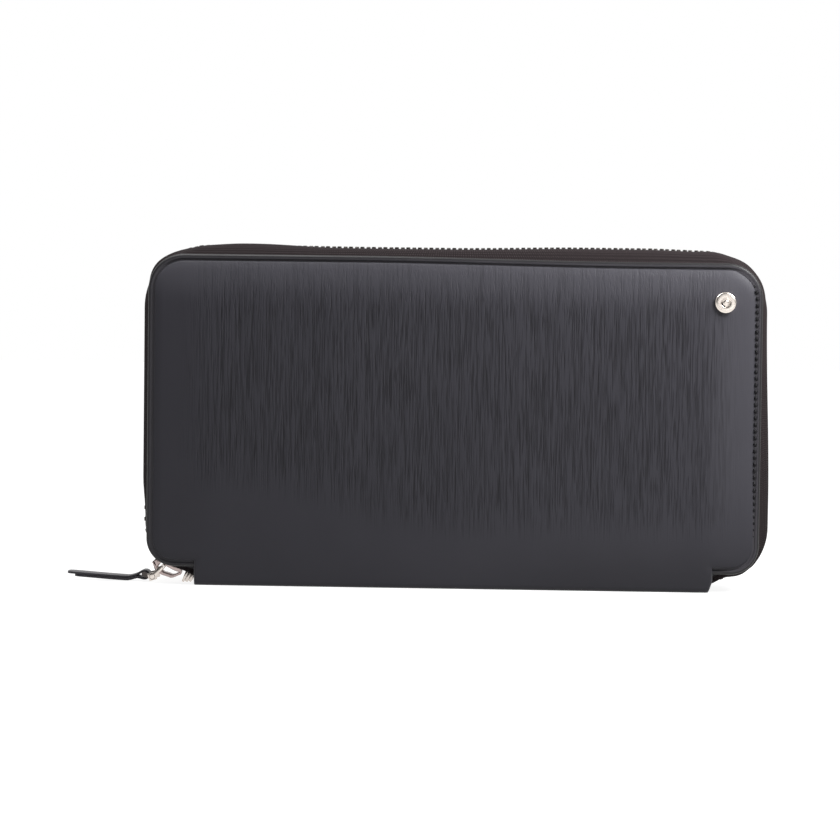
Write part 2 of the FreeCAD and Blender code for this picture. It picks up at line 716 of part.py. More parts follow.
def main():
    last = zip_distance(END_ANGLE)
    corner = zip_distance(90.0)
    stub = zip_distance(STOP_TO_ANGLE + END_GAP_ANGLE)
    nodes = {
        "spine_leather": [spine_leather()],
        "spine_board": [spine_strip(LEATHER, LEATHER + SPINE_BOARD)],
        "spine_lining": [spine_strip(LEATHER + SPINE_BOARD, SPINE_LINING_TOP)],
        "zip_anchor_left": [zip_anchor(LEFT)],
        "zip_anchor_right": [zip_anchor(RIGHT)],
        "tape_end_left": tape_end(LEFT),
        "tape_end_right": tape_end(RIGHT),
        "top_stops": top_stops(),
        "bottom_stop": [bottom_stop()],
        "end_teeth": teeth(FRONT, last, stub) + teeth(BACK, last, stub),
        "front_leather": [cover_leather(FRONT).cut(stud_hole())],
        "front_padding": [cover_padding(FRONT).cut(stud_room())],
        "back_leather": [cover_leather(BACK)],
        "back_padding": [cover_padding(BACK)],
        "stud_cap": [stud_cap()],
        "stud_post": [stud_post()],
        "stud_burr": [stud_burr()],
        "slip_pocket": [slip_pocket()],
        "pen_panel": [pen_panel()],
        "pen_band_left": [pen_band(-BAND_CENTRE)],
        "pen_band_right": [pen_band(BAND_CENTRE)],
        "slider_body": [slider_body()],
        "slider_crown": [slider_crown()],
        "pull_ring": [pull_ring()],
        "pull_strap": [pull_strap()],
    }
    for side, half in ((FRONT, "front"), (BACK, "back")):
        nodes[half + "_board"] = [cover_board(side)]
        nodes[half + "_lining"] = [cover_lining(side)]
        nodes[half + "_thread"] = [seam_thread(side)]
        nodes[half + "_tape"] = [zip_tape(side)]
        nodes[half + "_teeth"] = teeth(side, -corner, last)
        nodes[half + "_corner_teeth"] = teeth(side, -last, -corner)
    os.makedirs("parts", exist_ok=True)
    for name, solids in nodes.items():
        shape = solids[0] if len(solids) == 1 else Part.makeCompound(solids)
        shape.exportStep("parts/" + name + ".step")
        valid = all(s.isValid() for s in shape.Solids)
        print(name, "solids", len(shape.Solids), "valid", valid, "volume", round(shape.Volume, 2))
    print("zip corner", CORNER_X, CORNER_Z, "fold", FOLD_DEPTH, FOLD_RADIUS)
    print("ring pivot", ring_pivot(), "strap pivot", strap_pivot())
    print("inside depth", INSIDE_DEPTH, "loop height", LOOP_HEIGHT, "pens", pen_heights())


main()
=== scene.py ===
# Zip-round pen case of charcoal leather, standing closed on its spine. Sizes are in millimetres until a mesh is made.
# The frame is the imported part's: +X along the spine, front cover at -Y, +Z up, origin under the middle of the spine.
# Depths are distances from the zip's mid plane, Y = 0. A side is -1 for the front half and +1 for the back half.
import math
from collections import namedtuple

import bmesh
import bpy
import numpy as np
from mathutils import Matrix, Vector


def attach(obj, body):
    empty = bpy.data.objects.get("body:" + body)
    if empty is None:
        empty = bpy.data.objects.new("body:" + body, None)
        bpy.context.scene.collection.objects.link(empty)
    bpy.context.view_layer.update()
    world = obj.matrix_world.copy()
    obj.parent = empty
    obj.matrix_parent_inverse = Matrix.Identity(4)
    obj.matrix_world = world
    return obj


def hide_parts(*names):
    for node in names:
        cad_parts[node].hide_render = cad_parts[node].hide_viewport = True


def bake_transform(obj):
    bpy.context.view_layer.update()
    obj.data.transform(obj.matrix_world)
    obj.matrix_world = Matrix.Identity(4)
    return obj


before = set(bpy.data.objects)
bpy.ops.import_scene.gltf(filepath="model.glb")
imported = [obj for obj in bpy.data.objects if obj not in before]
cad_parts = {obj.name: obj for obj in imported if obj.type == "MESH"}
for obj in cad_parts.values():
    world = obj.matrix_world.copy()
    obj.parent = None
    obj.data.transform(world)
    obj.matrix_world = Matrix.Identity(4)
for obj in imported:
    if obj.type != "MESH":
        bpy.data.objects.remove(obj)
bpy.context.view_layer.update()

MM = 0.001
FRONT, BACK = -1, 1
HALVES = ((FRONT, "front"), (BACK, "back"))
scene = bpy.context.scene

# Main sizes
Outline = namedtuple("Outline", "half top bottom top_radius bottom_radius end")
COVER = Outline(98.0, 106.1, 5.95, 11.5, 9.0, 82.5)
ZIP = Outline(98.6, 108.2, 4.4, 19.0, 16.0, 73.5)
CORNER_X, CORNER_Z = 82.6, 20.4
FACE_DEPTH, GROOVE_DEPTH, SEAM_DEPTH, INSIDE_DEPTH = 13.5, 10.9, 10.15, 8.5
TOOTH_PITCH = 3.7
STUD_X, STUD_Z = 85.9, 92.6
RING_PIVOT = np.array([-94.1206, 0.0, 4.5433])
STRAP_PIVOT = np.array([-99.3660, 0.0, 2.5821])
RING_LENGTH = 5.6
RING_TURN, STRAP_TURN = 20.5, 3.0
PEN_HEIGHTS = (22.25, 43.75, 65.25, 86.75)


# Colours, nodes and materials

WHITE = (1.0, 1.0, 1.0, 1.0)
ONE_WAVE = 2 * math.pi / 20  # scale at which a wave texture repeats once in each unit of length


def colour(code):
    """Linear colour of an sRGB hex value."""
    parts = [int(code[i:i + 2], 16) / 255 for i in (1, 3, 5)]
    return tuple(c / 12.92 if c <= 0.04045 else ((c + 0.055) / 1.055) ** 2.4 for c in parts) + (1.0,)


def add(tree, kind, inputs=None, **settings):
    """Adds a node with its settings. An input takes a value, or the output that is linked to it."""
    made = tree.nodes.new(kind)
    for name, value in settings.items():
        setattr(made, name, value)
    for key, value in (inputs or {}).items():
        if isinstance(value, bpy.types.NodeSocket):
            tree.links.new(value, made.inputs[key])
        else:
            made.inputs[key].default_value = value
    return made


def new_material(name, sockets):
    """A material whose shader has these plain values, with its node tree."""
    material = bpy.data.materials.new(name)
    material.use_nodes = True
    for key, value in sockets.items():
        material.node_tree.nodes["Principled BSDF"].inputs[key].default_value = value
    return material, material.node_tree


def finished(material, base, roughness=None, normal=None):
    """The material with its shader's colour linked, and its roughness and normal where they vary."""
    tree = material.node_tree
    for name, output in (("Base Color", base), ("Roughness", roughness), ("Normal", normal)):
        if output is not None:
            tree.links.new(output, tree.nodes["Principled BSDF"].inputs[name])
    return material


def per_mm(size):
    """Texture scale for a feature of this size in millimetres, on Object coordinates in metres."""
    return 1.0 / (size * MM)


def object_place(tree):
    return add(tree, "ShaderNodeTexCoord").outputs["Object"]


def attribute(tree, name):
    return add(tree, "ShaderNodeAttribute", attribute_name=name).outputs["Fac"]


def noise(tree, place, size, detail, roughness=0.5):
    """Noise with features of this size in millimetres."""
    inputs = {"Vector": place, "Scale": per_mm(size), "Detail": detail, "Roughness": roughness}
    return add(tree, "ShaderNodeTexNoise", inputs).outputs["Fac"]


def mixed(tree, factor, first, second):
    """The colour between two colours, by a factor. A colour is a hex value, linear numbers or an output."""
    first, second = (colour(c) if isinstance(c, str) else c for c in (first, second))
    return add(tree, "ShaderNodeMix", {"Factor": factor, 6: first, 7: second}, data_type="RGBA").outputs[2]


def between(tree, factor, first, second):
    """The number between two numbers, by a factor."""
    return add(tree, "ShaderNodeMix", {"Factor": factor, 2: first, 3: second}).outputs[0]


def ranged(tree, value, low, high, start=0.0, end=1.0):
    """A value from start to end, brought to the range from low to high."""
    inputs = {"Value": value, "From Min": start, "From Max": end, "To Min": low, "To Max": high}
    return add(tree, "ShaderNodeMapRange", inputs).outputs["Result"]


def reckoned(tree, operation, first, second):
    return add(tree, "ShaderNodeMath", {0: first, 1: second}, operation=operation).outputs[0]


def bumped(tree, height, strength, depth, under=None, **settings):
    """Surface normal of a relief so many millimetres deep, on top of another relief if one is given."""
    inputs = {"Strength": strength, "Distance": depth * MM, "Height": height}
    if under is not None:
        inputs["Normal"] = under
    return add(tree, "ShaderNodeBump", inputs, **settings).outputs["Normal"]


def grained_leather():
    """Dyed calf with a pressed upright grain and a soft matt top coat: painted shade in the creases and along the foot,
    a painted highlight along the upper and right edges, a broad soft sheen.
    """
    material, tree = new_material("grained_calf_leather", {"IOR": 1.5, "Specular IOR Level": 0.2})
    place = object_place(tree)
    upright = add(tree, "ShaderNodeMapping", {"Vector": place, "Scale": (1.0, 1.0, 0.045)}).outputs["Vector"]
    streak = noise(tree, upright, 0.46, 2.0)
    lines = ranged(tree, streak, 0.0, 1.0, 0.34, 0.5)
    kept = between(tree, attribute(tree, "pressed"), 1.0, lines)
    tone = mixed(tree, noise(tree, place, 40.0, 2.0), "#35343a", "#3d3c42")
    # painted shade: the low lines of the fine streaks are darker
    tone = mixed(tree, kept, "#2b2a2f", tone)
    # painted highlight: the leather is paler along the upper edge and the right side
    tone = mixed(tree, attribute(tree, "wear_and_painted_highlight"), tone, "#47464c")
    # painted shade: darker in the pressed creases and along the foot
    tone = mixed(tree, attribute(tree, "crease_and_painted_shade"), tone, "#19181b")
    pores = bumped(tree, noise(tree, place, 0.35, 2.0), 0.35, 0.05)
    relief = bumped(tree, kept, 0.5, 0.16, pores)
    return finished(material, tone, ranged(tree, streak, 0.36, 0.48), relief)


def plain_leather(name, dark, light, grain, rough, edge=None):
    """Smooth calf: fine pebble grain, slow changes of tone, a low sheen. Its cut edge may be painted dark, and that
    dark can carry painted shade further over it.
    """
    material, tree = new_material(name, {"IOR": 1.5, "Specular IOR Level": 0.32})
    place = object_place(tree)
    pebble = add(tree, "ShaderNodeTexVoronoi", {"Vector": place, "Scale": per_mm(grain)}, feature="SMOOTH_F1")
    cloud = noise(tree, place, 9.0, 4.0)
    tone = mixed(tree, cloud, dark, light)
    if edge:
        tone = mixed(tree, attribute(tree, "edge_paint_and_shade"), tone, edge)
    relief = bumped(tree, pebble.outputs["Distance"], 0.4, 0.06, invert=True)
    return finished(material, tone, ranged(tree, cloud, rough - 0.06, rough + 0.06), relief)


def woven(name, dark, light, warp, weft):
    """Close plain weave of dull yarn: rows of small raised threads with darker gaps, on a map in millimetres."""
    material, tree = new_material(name, {"Specular IOR Level": 0.12, "Roughness": 0.9})
    place = add(tree, "ShaderNodeUVMap", uv_map="weave").outputs["UV"]
    along, across = (
        add(tree, "ShaderNodeTexWave", {"Vector": place, "Scale": ONE_WAVE / pitch}, bands_direction=axis)
        for axis, pitch in (("X", warp), ("Y", weft))
    )
    yarn = reckoned(tree, "MULTIPLY", along.outputs["Fac"], across.outputs["Fac"])
    fuzz = add(tree, "ShaderNodeTexNoise", {"Vector": place, "Scale": 1.6, "Detail": 3.0}).outputs["Fac"]
    height = reckoned(tree, "MULTIPLY", yarn, fuzz)
    return finished(material, mixed(tree, height, dark, light), normal=bumped(tree, height, 0.8, 0.18))


def metal(name, code, rough, wear):
    """Plated and polished metal: sharp reflections with faint rubbed patches."""
    material, tree = new_material(name, {"Metallic": 1.0})
    wear_and_painted_highlight = noise(tree, object_place(tree), 1.5, 5.0, 0.7)
    dull = tuple(0.82 * c for c in colour(code)[:3]) + (1.0,)
    return finished(material, mixed(tree, wear_and_painted_highlight, code, dull), ranged(tree, wear_and_painted_highlight, rough, rough + wear))


def twisted_thread():
    """Waxed sewing thread: black, with a painted highlight along its slanting strands."""
    material, tree = new_material("waxed_sewing_thread", {"Roughness": 0.55, "Specular IOR Level": 0.16})
    turned_place = {"Vector": object_place(tree), "Rotation": (0.0, math.radians(35), 0.0)}
    slant = add(tree, "ShaderNodeMapping", turned_place).outputs["Vector"]
    strand = add(tree, "ShaderNodeTexWave", {"Vector": slant, "Scale": ONE_WAVE * per_mm(0.4)}).outputs["Fac"]
    # painted highlight: the slanting strands are lighter
    tone = mixed(tree, strand, "#0d0d0f", "#1c1b1f")
    return finished(material, tone, normal=bumped(tree, strand, 0.5, 0.08))


def fibre_board(name, dark, light):
    """Pressed fibre inside the cover: matt and flecked."""
    material, tree = new_material(name, {"Roughness": 0.9, "Specular IOR Level": 0.2})
    return finished(material, mixed(tree, noise(tree, object_place(tree), 1.2, 6.0), dark, light))


GRAINED = grained_leather()
SMOOTH = plain_leather("smooth_calf_edge", "#2f2d32", "#3d3b40", 0.5, 0.42)
# the rim's dark edge is edge paint, widened into painted shade over its top-facing part and upper left
RIM_LEATHER = plain_leather("calf_with_edge_paint_and_shade", "#353338", "#413f44", 0.5, 0.42, "#151416")
LINING = plain_leather("lining_goatskin", "#2b292c", "#353337", 0.8, 0.55)
TAPE_CLOTH = woven("zip_tape_cotton", "#201b1c", "#4a4244", 0.7, 0.6)
ELASTIC_CLOTH = woven("ribbed_elastic", "#0f0f11", "#2c2b2f", 0.6, 0.8)
NICKEL = metal("polished_nickel", "#e3dad2", 0.14, 0.14)
ZIP_NICKEL = metal("rubbed_nickel_zip_parts", "#b3a3a0", 0.16, 0.16)
GUNMETAL = metal("black_nickel_zip_teeth", "#55504e", 0.24, 0.16)
THREAD = twisted_thread()
BOARD = fibre_board("leather_fibre_board", "#3a2f27", "#5a4a3c")


# Meshes

HARD_EDGE = math.radians(25)


def linked(name, data):
    """An object with this data, put in the scene."""
    made = bpy.data.objects.new(name, data)
    scene.collection.objects.link(made)
    return made


def new_piece(name, points, faces, material, soften=0.0, sharp=40.0):
    """A closed piece from points in millimetres. Its hard edges may be softened by a width."""
    mesh = bpy.data.meshes.new(name)
    mesh.from_pydata((np.asarray(points, float) * MM).tolist(), [], faces)
    shape = bmesh.new()
    shape.from_mesh(mesh)
    bmesh.ops.recalc_face_normals(shape, faces=shape.faces)
    if soften:
        hard = [e for e in shape.edges if len(e.link_faces) == 2 and e.calc_face_angle(0.0) > HARD_EDGE]
        bmesh.ops.bevel(
            shape, geom=hard, offset=soften * MM, offset_type="OFFSET", segments=2, profile=0.5, affect="EDGES",
            clamp_overlap=True,
        )
    shape.to_mesh(mesh)
    shape.free()
    mesh.materials.append(material)
    mesh.shade_smooth()
    mesh.set_sharp_from_angle(angle=math.radians(sharp))
    return linked(name, mesh)


def point_values(made, kind, values):
    """Stores a value at each point of a piece, for its material."""
    made.data.attributes.new(kind, "FLOAT", "POINT").data.foreach_set("value", np.array(values, np.float32))


def map_weave(made, lengths, widths):
    """Gives a cloth the map that its weave follows, from the lengths along and across it at each point."""
    weave = made.data.uv_layers.new(name="weave")
    corner = np.zeros(len(made.data.loops), np.int32)
    made.data.loops.foreach_get("vertex_index", corner)
    weave.data.foreach_set("uv", np.column_stack([lengths[corner], widths[corner]]).astype(np.float32).ravel())


def tube(rings):
    """Points and faces of a closed tube through rings of equally many points."""
    rings = np.asarray(rings, float)
    count, size = rings.shape[:2]
    faces = [
        (i * size + j, i * size + (j + 1) % size, (i + 1) * size + (j + 1) % size, (i + 1) * size + j)
        for i in range(count - 1)
        for j in range(size)
    ]
    faces += [tuple(range(size)), tuple(range((count - 1) * size, count * size))]
    return rings.reshape(-1, 3), faces


def merged(shapes):
    """Points and faces of several shapes as one."""
    points, faces, start = [], [], 0
    for shape_points, shape_faces in shapes:
        points.append(np.asarray(shape_points, float))
        faces += [tuple(start + i for i in face) for face in shape_faces]
        start += len(shape_points)
    return np.concatenate(points), faces


def rise(value, low, high):
    """0 before low, 1 after high, and a smooth rise between them."""
    t = np.clip((np.asarray(value, float) - low) / (high - low), 0.0, 1.0)
    return t * t * (3 - 2 * t)


def fall(value, low, high):
    """1 before low, 0 after high, and a smooth fall between them."""
    return 1 - rise(value, low, high)


def grown(outline, by):
    """The outline moved outwards by a distance."""
    return outline._replace(
        half=outline.half + by, top=outline.top + by, bottom=outline.bottom - by,
        top_radius=outline.top_radius + by, bottom_radius=outline.bottom_radius + by,
    )


LINE_STEPS = (8, 22, 30, 26, 90)


def outline_line(outline):
    """(x, z) points from the left end, over the sides and top, to the right end, and the outward direction at each."""
    half, top, bottom, upper, lower, end = outline
    foot, low_arc, side, high_arc, over = LINE_STEPS
    stretches = [
        ("run", (-end, bottom), (-half + lower, bottom), foot),
        ("arc", (-half + lower, bottom + lower, lower), (-90, -180), low_arc),
        ("run", (-half, bottom + lower), (-half, top - upper), side),
        ("arc", (-half + upper, top - upper, upper), (180, 90), high_arc),
        ("run", (-half + upper, top), (half - upper, top), over),
        ("arc", (half - upper, top - upper, upper), (90, 0), high_arc),
        ("run", (half, top - upper), (half, bottom + lower), side),
        ("arc", (half - lower, bottom + lower, lower), (0, -90), low_arc),
        ("run", (half - lower, bottom), (end, bottom), foot),
    ]
    points, outward = [], []
    for kind, first, last, steps in stretches:
        for share in np.linspace(0, 1, steps + 1)[1 if points else 0:]:
            if kind == "run":
                points.append(np.add(first, share * np.subtract(last, first)))
                along = np.subtract(last, first) / np.linalg.norm(np.subtract(last, first))
                outward.append((-along[1], along[0]))
            else:
                turn = math.radians(last[0] + share * (last[1] - last[0]))
                way = np.array([math.cos(turn), math.sin(turn)])
                points.append(np.add(first[:2], first[2] * way))
                outward.append(way)
    return np.array(points), np.array(outward)


def rounded_box(x0, x1, z0, z1, radius, steps=8):
    """Closed (x, z) outline of a box with round corners, and the outward direction at each point."""
    points, outward = [], []
    corners = ((x1, z1, 1, 1, 0), (x0, z1, -1, 1, 90), (x0, z0, -1, -1, 180), (x1, z0, 1, -1, 270))
    for x, z, right, up, start in corners:
        for turn in np.radians(np.linspace(start, start + 90, steps + 1)):
            way = np.array([math.cos(turn), math.sin(turn)])
            points.append(np.array([x - right * radius, z - up * radius]) + radius * way)
            outward.append(way)
    return np.array(points), np.array(outward)


def at_depth(flat, side, depth):
    """(x, z) points as points at a depth of one side."""
    flat = np.asarray(flat, float)
    return np.column_stack([flat[:, 0], np.full(len(flat), side * depth), flat[:, 1]])


def closed(points):
    return np.concatenate([points, points[:1]])


def running_lengths(line):
    """Length along a line of points up to each of them."""
    return np.concatenate([[0.0], np.cumsum(np.linalg.norm(np.diff(line, axis=0), axis=1))])


def square_to(line):
    """Unit direction square to a flat line at each of its points."""
    along = np.gradient(line, axis=0)
    along /= np.linalg.norm(along, axis=1)[:, None]
    return np.column_stack([-along[:, 1], along[:, 0]])


def skived(box, base, face):
    """Outlines and levels of a flat sheet from its sewn base to its face, whose edge is skived round."""
    points, outward = box
    thick = abs(face - base)
    stages = ((0.0, 0.0), (0.0, 0.5), (0.12, 0.8), (0.4, 1.0))
    return [(points - inset * thick * outward, base + share * (face - base)) for inset, share in stages]


def sewn_sheet(name, box, side, outer, inner):
    """A flat leather sheet sewn inside a cover."""
    rings = [at_depth(flat, side, depth) for flat, depth in skived(box, outer, inner)]
    return new_piece(name, *tube(rings), LINING)


def flat_tab(name, x0, x1, half, low, high):
    """A leather strip lying on the spine."""
    box = rounded_box(x0, x1, -half, half, 1.2, 5)
    rings = [np.column_stack([flat, np.full(len(flat), z)]) for flat, z in skived(box, low, high)]
    return new_piece(name, *tube(rings), LINING)


# Repeats along a path: Geometry Nodes place one shape at a pitch along a line, turned with the line


def repeat_tree():
    tree = bpy.data.node_groups.new("repeat_along_line", "GeometryNodeTree")
    for name, kind in (("Line", "Geometry"), ("Shape", "Object"), ("Pitch", "Float"), ("Finish", "Material")):
        tree.interface.new_socket(name, in_out="INPUT", socket_type="NodeSocket" + kind)
    tree.interface.new_socket("Pieces", in_out="OUTPUT", socket_type="NodeSocketGeometry")
    given = add(tree, "NodeGroupInput").outputs
    line = add(tree, "GeometryNodeMeshToCurve", {"Mesh": given["Line"]}).outputs["Curve"]
    spaced = add(tree, "GeometryNodeResampleCurve", {"Curve": line, "Length": given["Pitch"]}, mode="LENGTH")
    along = add(tree, "GeometryNodeInputTangent").outputs["Tangent"]
    turn = add(tree, "FunctionNodeAlignRotationToVector", {"Vector": along}, axis="X", pivot_axis="Y")
    shape = add(tree, "GeometryNodeObjectInfo", {"Object": given["Shape"]})
    placed = add(tree, "GeometryNodeInstanceOnPoints", {
        "Points": spaced.outputs["Curve"], "Instance": shape.outputs["Geometry"], "Rotation": turn.outputs["Rotation"],
    })
    real = add(tree, "GeometryNodeRealizeInstances", {"Geometry": placed.outputs["Instances"]}).outputs["Geometry"]
    done = add(tree, "GeometryNodeSetMaterial", {"Geometry": real, "Material": given["Finish"]})
    add(tree, "NodeGroupOutput", {"Pieces": done.outputs["Geometry"]})
    return tree


REPEAT = repeat_tree()


def repeated(name, lines, shape, pitch, material):
    """One plain mesh of a shape repeated along open lines of points."""
    points, edges = [], []
    for line in lines:
        edges += [(len(points) + i, len(points) + i + 1) for i in range(len(line) - 1)]
        points += (np.asarray(line, float) * MM).tolist()
    path = bpy.data.meshes.new(name + "_line")
    path.from_pydata(points, edges, [])
    carrier = linked(name + "_line", path)
    modifier = carrier.modifiers.new("repeat", "NODES")
    modifier.node_group = REPEAT
    sockets = {s.name: s.identifier for s in REPEAT.interface.items_tree if s.in_out == "INPUT"}
    modifier[sockets["Shape"]] = shape
    modifier[sockets["Pitch"]] = pitch * MM
    modifier[sockets["Finish"]] = material
    bpy.context.view_layer.update()
    mesh = bpy.data.meshes.new_from_object(carrier.evaluated_get(bpy.context.evaluated_depsgraph_get()))
    bpy.data.objects.remove(carrier)
    mesh.name = name
    return linked(name, mesh)


def stitch_shape(name, length, width):
    """One stitch along X: a plump thread that narrows into its holes at both ends."""
    rings = []
    for share in (-1.0, -0.85, -0.5, 0.0, 0.5, 0.85, 1.0):
        plump = math.sqrt(max(0.0, 1 - (0.94 * share) ** 4))
        ring = []
        for turn in np.linspace(0, 2 * math.pi, 8, endpoint=False):
            across, out = math.cos(turn) * width / 2 * plump, math.sin(turn) * width / 2 * plump
            ring.append((share * length / 2, out * (1 - 0.4 * share * share), across + 0.06 * share))
        rings.append(ring)
    return new_piece(name, *tube(rings), THREAD)


STITCH, STITCH_PITCH = stitch_shape("stitch_of_the_seam", 1.4, 1.0), 2.1
FINE_STITCH, FINE_PITCH, BAND_PITCH = stitch_shape("stitch_of_the_lining", 1.8, 0.4), 2.6, 2.5


# Cover leather

FIELD = grown(COVER, -2.05)
FOOT_LEFT, FOOT_RIGHT = -82.5, 83.3
FOOT_SLANT, SLANT_RUN, SLANT_HEIGHT = 1.2, 9.0, 3.6
END_WRAP = 0.9
BEVEL, LIP = 3.0, 0.45
FOLD_RADIUS = 1.8
FOOT_HEIGHTS = np.array([6.7, 6.3, 5.7, 5.0, 4.2, 3.3, 2.5, FOLD_RADIUS])
FOOT_INSIDE = [(0.0, 1.36), (7.6, 1.36), (8.8, 1.7), (9.8, 2.7), (SEAM_DEPTH, 4.0)]
COLUMN_STEP, ROWS = 0.21, 74
EDGE_ROWS = (0.0, 0.06, 0.18, 0.34, 0.5, 0.8, 1.3, 2.0, 2.9, 4.0, 5.4, 7.0)
GRAIN_SEED, CREASES, CREASE_DEPTH, CREASE_REACH = 11, 3200, 0.13, 1.8
# Ranges of a crease's middle x and z, length, width, depth, lean, sway, length of sway and start of sway
CREASE_RANGES = (
    (-92, 92), (10, 108), (5, 20), (0.13, 0.19), (0.15, 0.85), (-0.006, 0.006), (0.0, 0.09), (1.5, 4.0), (0, 6.3),
)


def field_edge(x, upper):
    """Height of the padded field's upper or lower edge at each x."""
    radius = FIELD.top_radius if upper else FIELD.bottom_radius
    past = np.clip(np.abs(x) - (FIELD.half - radius), 0.0, radius)
    drop = radius - np.sqrt(radius * radius - past * past)
    return FIELD.top - drop if upper else FIELD.bottom + drop


def field_inset(x, z):
    """Distance from the field's sewn edge, which ends at the foot."""
    wide = np.abs(x)
    top_x, top_z = FIELD.half - FIELD.top_radius, FIELD.top - FIELD.top_radius
    low_x, low_z = FIELD.half - FIELD.bottom_radius, FIELD.bottom + FIELD.bottom_radius
    foot = np.where(x < 0, -FOOT_LEFT, FOOT_RIGHT)
    below = np.where(wide >= foot, np.abs(z - FIELD.bottom), np.hypot(foot - wide, z - FIELD.bottom))
    inset = np.minimum(np.minimum(FIELD.half - wide, FIELD.top - z), below)
    upper = (wide > top_x) & (z > top_z)
    lower = (wide > low_x) & (z < low_z)
    inset = np.where(upper, FIELD.top_radius - np.hypot(wide - top_x, z - top_z), inset)
    inset = np.where(lower, FIELD.bottom_radius - np.hypot(wide - low_x, z - low_z), inset)
    return np.clip(inset, 0.0, None)


def seam_shut(x, z):
    """1 at the sides, where the groove of the seam has closed up."""
    right = rise(x, 86, 93) * (0.7 + 0.3 * rise(z, 24, 44))
    right = np.maximum(right, 0.7 * rise(x, 78, 84) * fall(z, 10, 20))
    left = np.maximum(rise(-x, 92.5, 95.5), rise(-x, 70, 82) * fall(z, 30, 45))
    return np.maximum(right, left)


def eased_fall(run, ease, slope):
    """A fall that starts level, steepens over a length and then keeps its slope."""
    run = np.clip(run, 0.0, None)
    return slope * np.where(run < ease, run * run / (2 * ease), run - ease / 2)


def field_depth(x, z):
    """Depth of the padded field: slow falls to the sides, the top and the foot, a small bevel and a rolled lip."""
    inset = field_inset(x, z)
    bevel = 0.35 * (1 - np.clip(inset / BEVEL, 0, 1)) ** 2
    right = eased_fall(x - 79.0, 9.0, 0.14)
    left = eased_fall(-x - 76.0, 12.0, 0.08)
    upper = eased_fall(z - FIELD.top + 18.0, 16.0, 0.19)
    tuck = 1.28 * np.clip(1 - z / 16.0, 0, 1) ** 2
    depth = FACE_DEPTH - bevel - np.hypot(right + left, upper) - tuck
    roll = np.sqrt(1 - (1 - np.clip(inset / LIP, 0, 1)) ** 2)
    groove = GROOVE_DEPTH + 0.5 * seam_shut(x, z)
    return groove + (depth - groove) * roll


def top_sag(x, z):
    """How far the covers' upper edge has settled towards the right, up to a millimetre."""
    return rise(x, -30, 60) * rise(z, 50, 106)


def settled(points):
    """Points of a cover after its upper edge has settled."""
    points = np.array(points, float)
    points[:, 2] -= top_sag(points[:, 0], points[:, 2])
    return points


def painted_edge_highlight(x, z):
    """1 along the upper edge and part of that on the right, where a painted highlight makes the leather a little paler.
    """
    right = 0.6 * rise(x, 76, 90) * rise(z, 12, 46)
    return np.maximum(rise(z, FIELD.top - 15.0, FIELD.top - 2.0), right)


def painted_foot_shade(x, z):
    """How much painted shade darkens the leather along the foot, more towards the right."""
    return 0.36 * rise(x, -10, 60) * fall(z, 1, 26)


def grain_fade(x, z):
    """1 where the grain is fully pressed, fading towards the sides, the top and the foot, sooner at the left foot."""
    sides = fall(-x, 72, 90) * fall(x, 74, 96)
    higher = 14 * fall(x, -70, 0)
    return sides * rise(z - higher, 13, 30) * (1 - 0.6 * rise(z, 86, 102))


def pressed_grain(x, z, seed):
    """Depth from 0 to 1 of the upright creases pressed into the leather."""
    draw = np.random.default_rng(seed)
    depth = np.zeros_like(x)
    columns, rows = x[:, 0], z[len(x) // 2]
    for _ in range(CREASES):
        middle_x, middle_z, length, width, deep, lean, sway, wave, phase = (draw.uniform(*r) for r in CREASE_RANGES)
        i0, i1 = np.searchsorted(columns, (middle_x - CREASE_REACH, middle_x + CREASE_REACH))
        j0, j1 = np.searchsorted(rows, (middle_z - length / 2, middle_z + length / 2))
        part_x, part_z = x[i0:i1, j0:j1], z[i0:i1, j0:j1]
        along = np.clip(np.abs(part_z - middle_z) / (length / 2), 0, 1)
        line = middle_x + lean * (part_z - middle_z) + sway * np.sin(part_z / wave + phase)
        crease_and_painted_shade = deep * (1 - along ** 2) * np.exp(-(((part_x - line) / width) ** 2))
        depth[i0:i1, j0:j1] = np.maximum(depth[i0:i1, j0:j1], crease_and_painted_shade)
    return depth * grain_fade(x, z)


def skin_columns():
    """x of the skin's columns: the left margin, the middle over the foot and the right margin."""
    steps = int((FOOT_RIGHT - FOOT_LEFT) / COLUMN_STEP)
    turn_x = FIELD.half - FIELD.bottom_radius
    corner = turn_x + FIELD.bottom_radius * np.sin(np.radians(np.linspace(0, 90, 31)[1:]))
    left, right = (np.concatenate([np.linspace(foot, turn_x, 14)[1:], corner]) for foot in (-FOOT_LEFT, FOOT_RIGHT))
    return np.concatenate([-left[::-1], np.linspace(FOOT_LEFT, FOOT_RIGHT, steps + 1), right])


def foot_loop(place, side):
    """Points at one x from the field down round the fold, under the case to the middle of the spine and back inside."""
    end_gap = min(place - FOOT_LEFT, FOOT_RIGHT - place)
    wrap = END_WRAP - math.sqrt(max(0.0, END_WRAP ** 2 - max(0.0, END_WRAP - end_gap) ** 2))
    depths = field_depth(np.full(len(FOOT_HEIGHTS), place), FOOT_HEIGHTS)
    depths -= wrap * rise(FIELD.bottom - FOOT_HEIGHTS, 0.3, 2.0)
    base = depths[-1] - FOLD_RADIUS
    line = list(zip(depths, FOOT_HEIGHTS))
    for turn in np.radians([15, 30, 45, 60, 75, 90]):
        line.append((base + FOLD_RADIUS * math.cos(turn), FOLD_RADIUS - FOLD_RADIUS * math.sin(turn)))
    line += [(base * share, 0.0) for share in (0.75, 0.5, 0.25, 0.0)] + FOOT_INSIDE
    slant = FOOT_SLANT * rise(place, FOOT_RIGHT - SLANT_RUN, FOOT_RIGHT)
    return [(place - slant * max(0.0, 1 - h / SLANT_HEIGHT), side * d, h) for d, h in line]


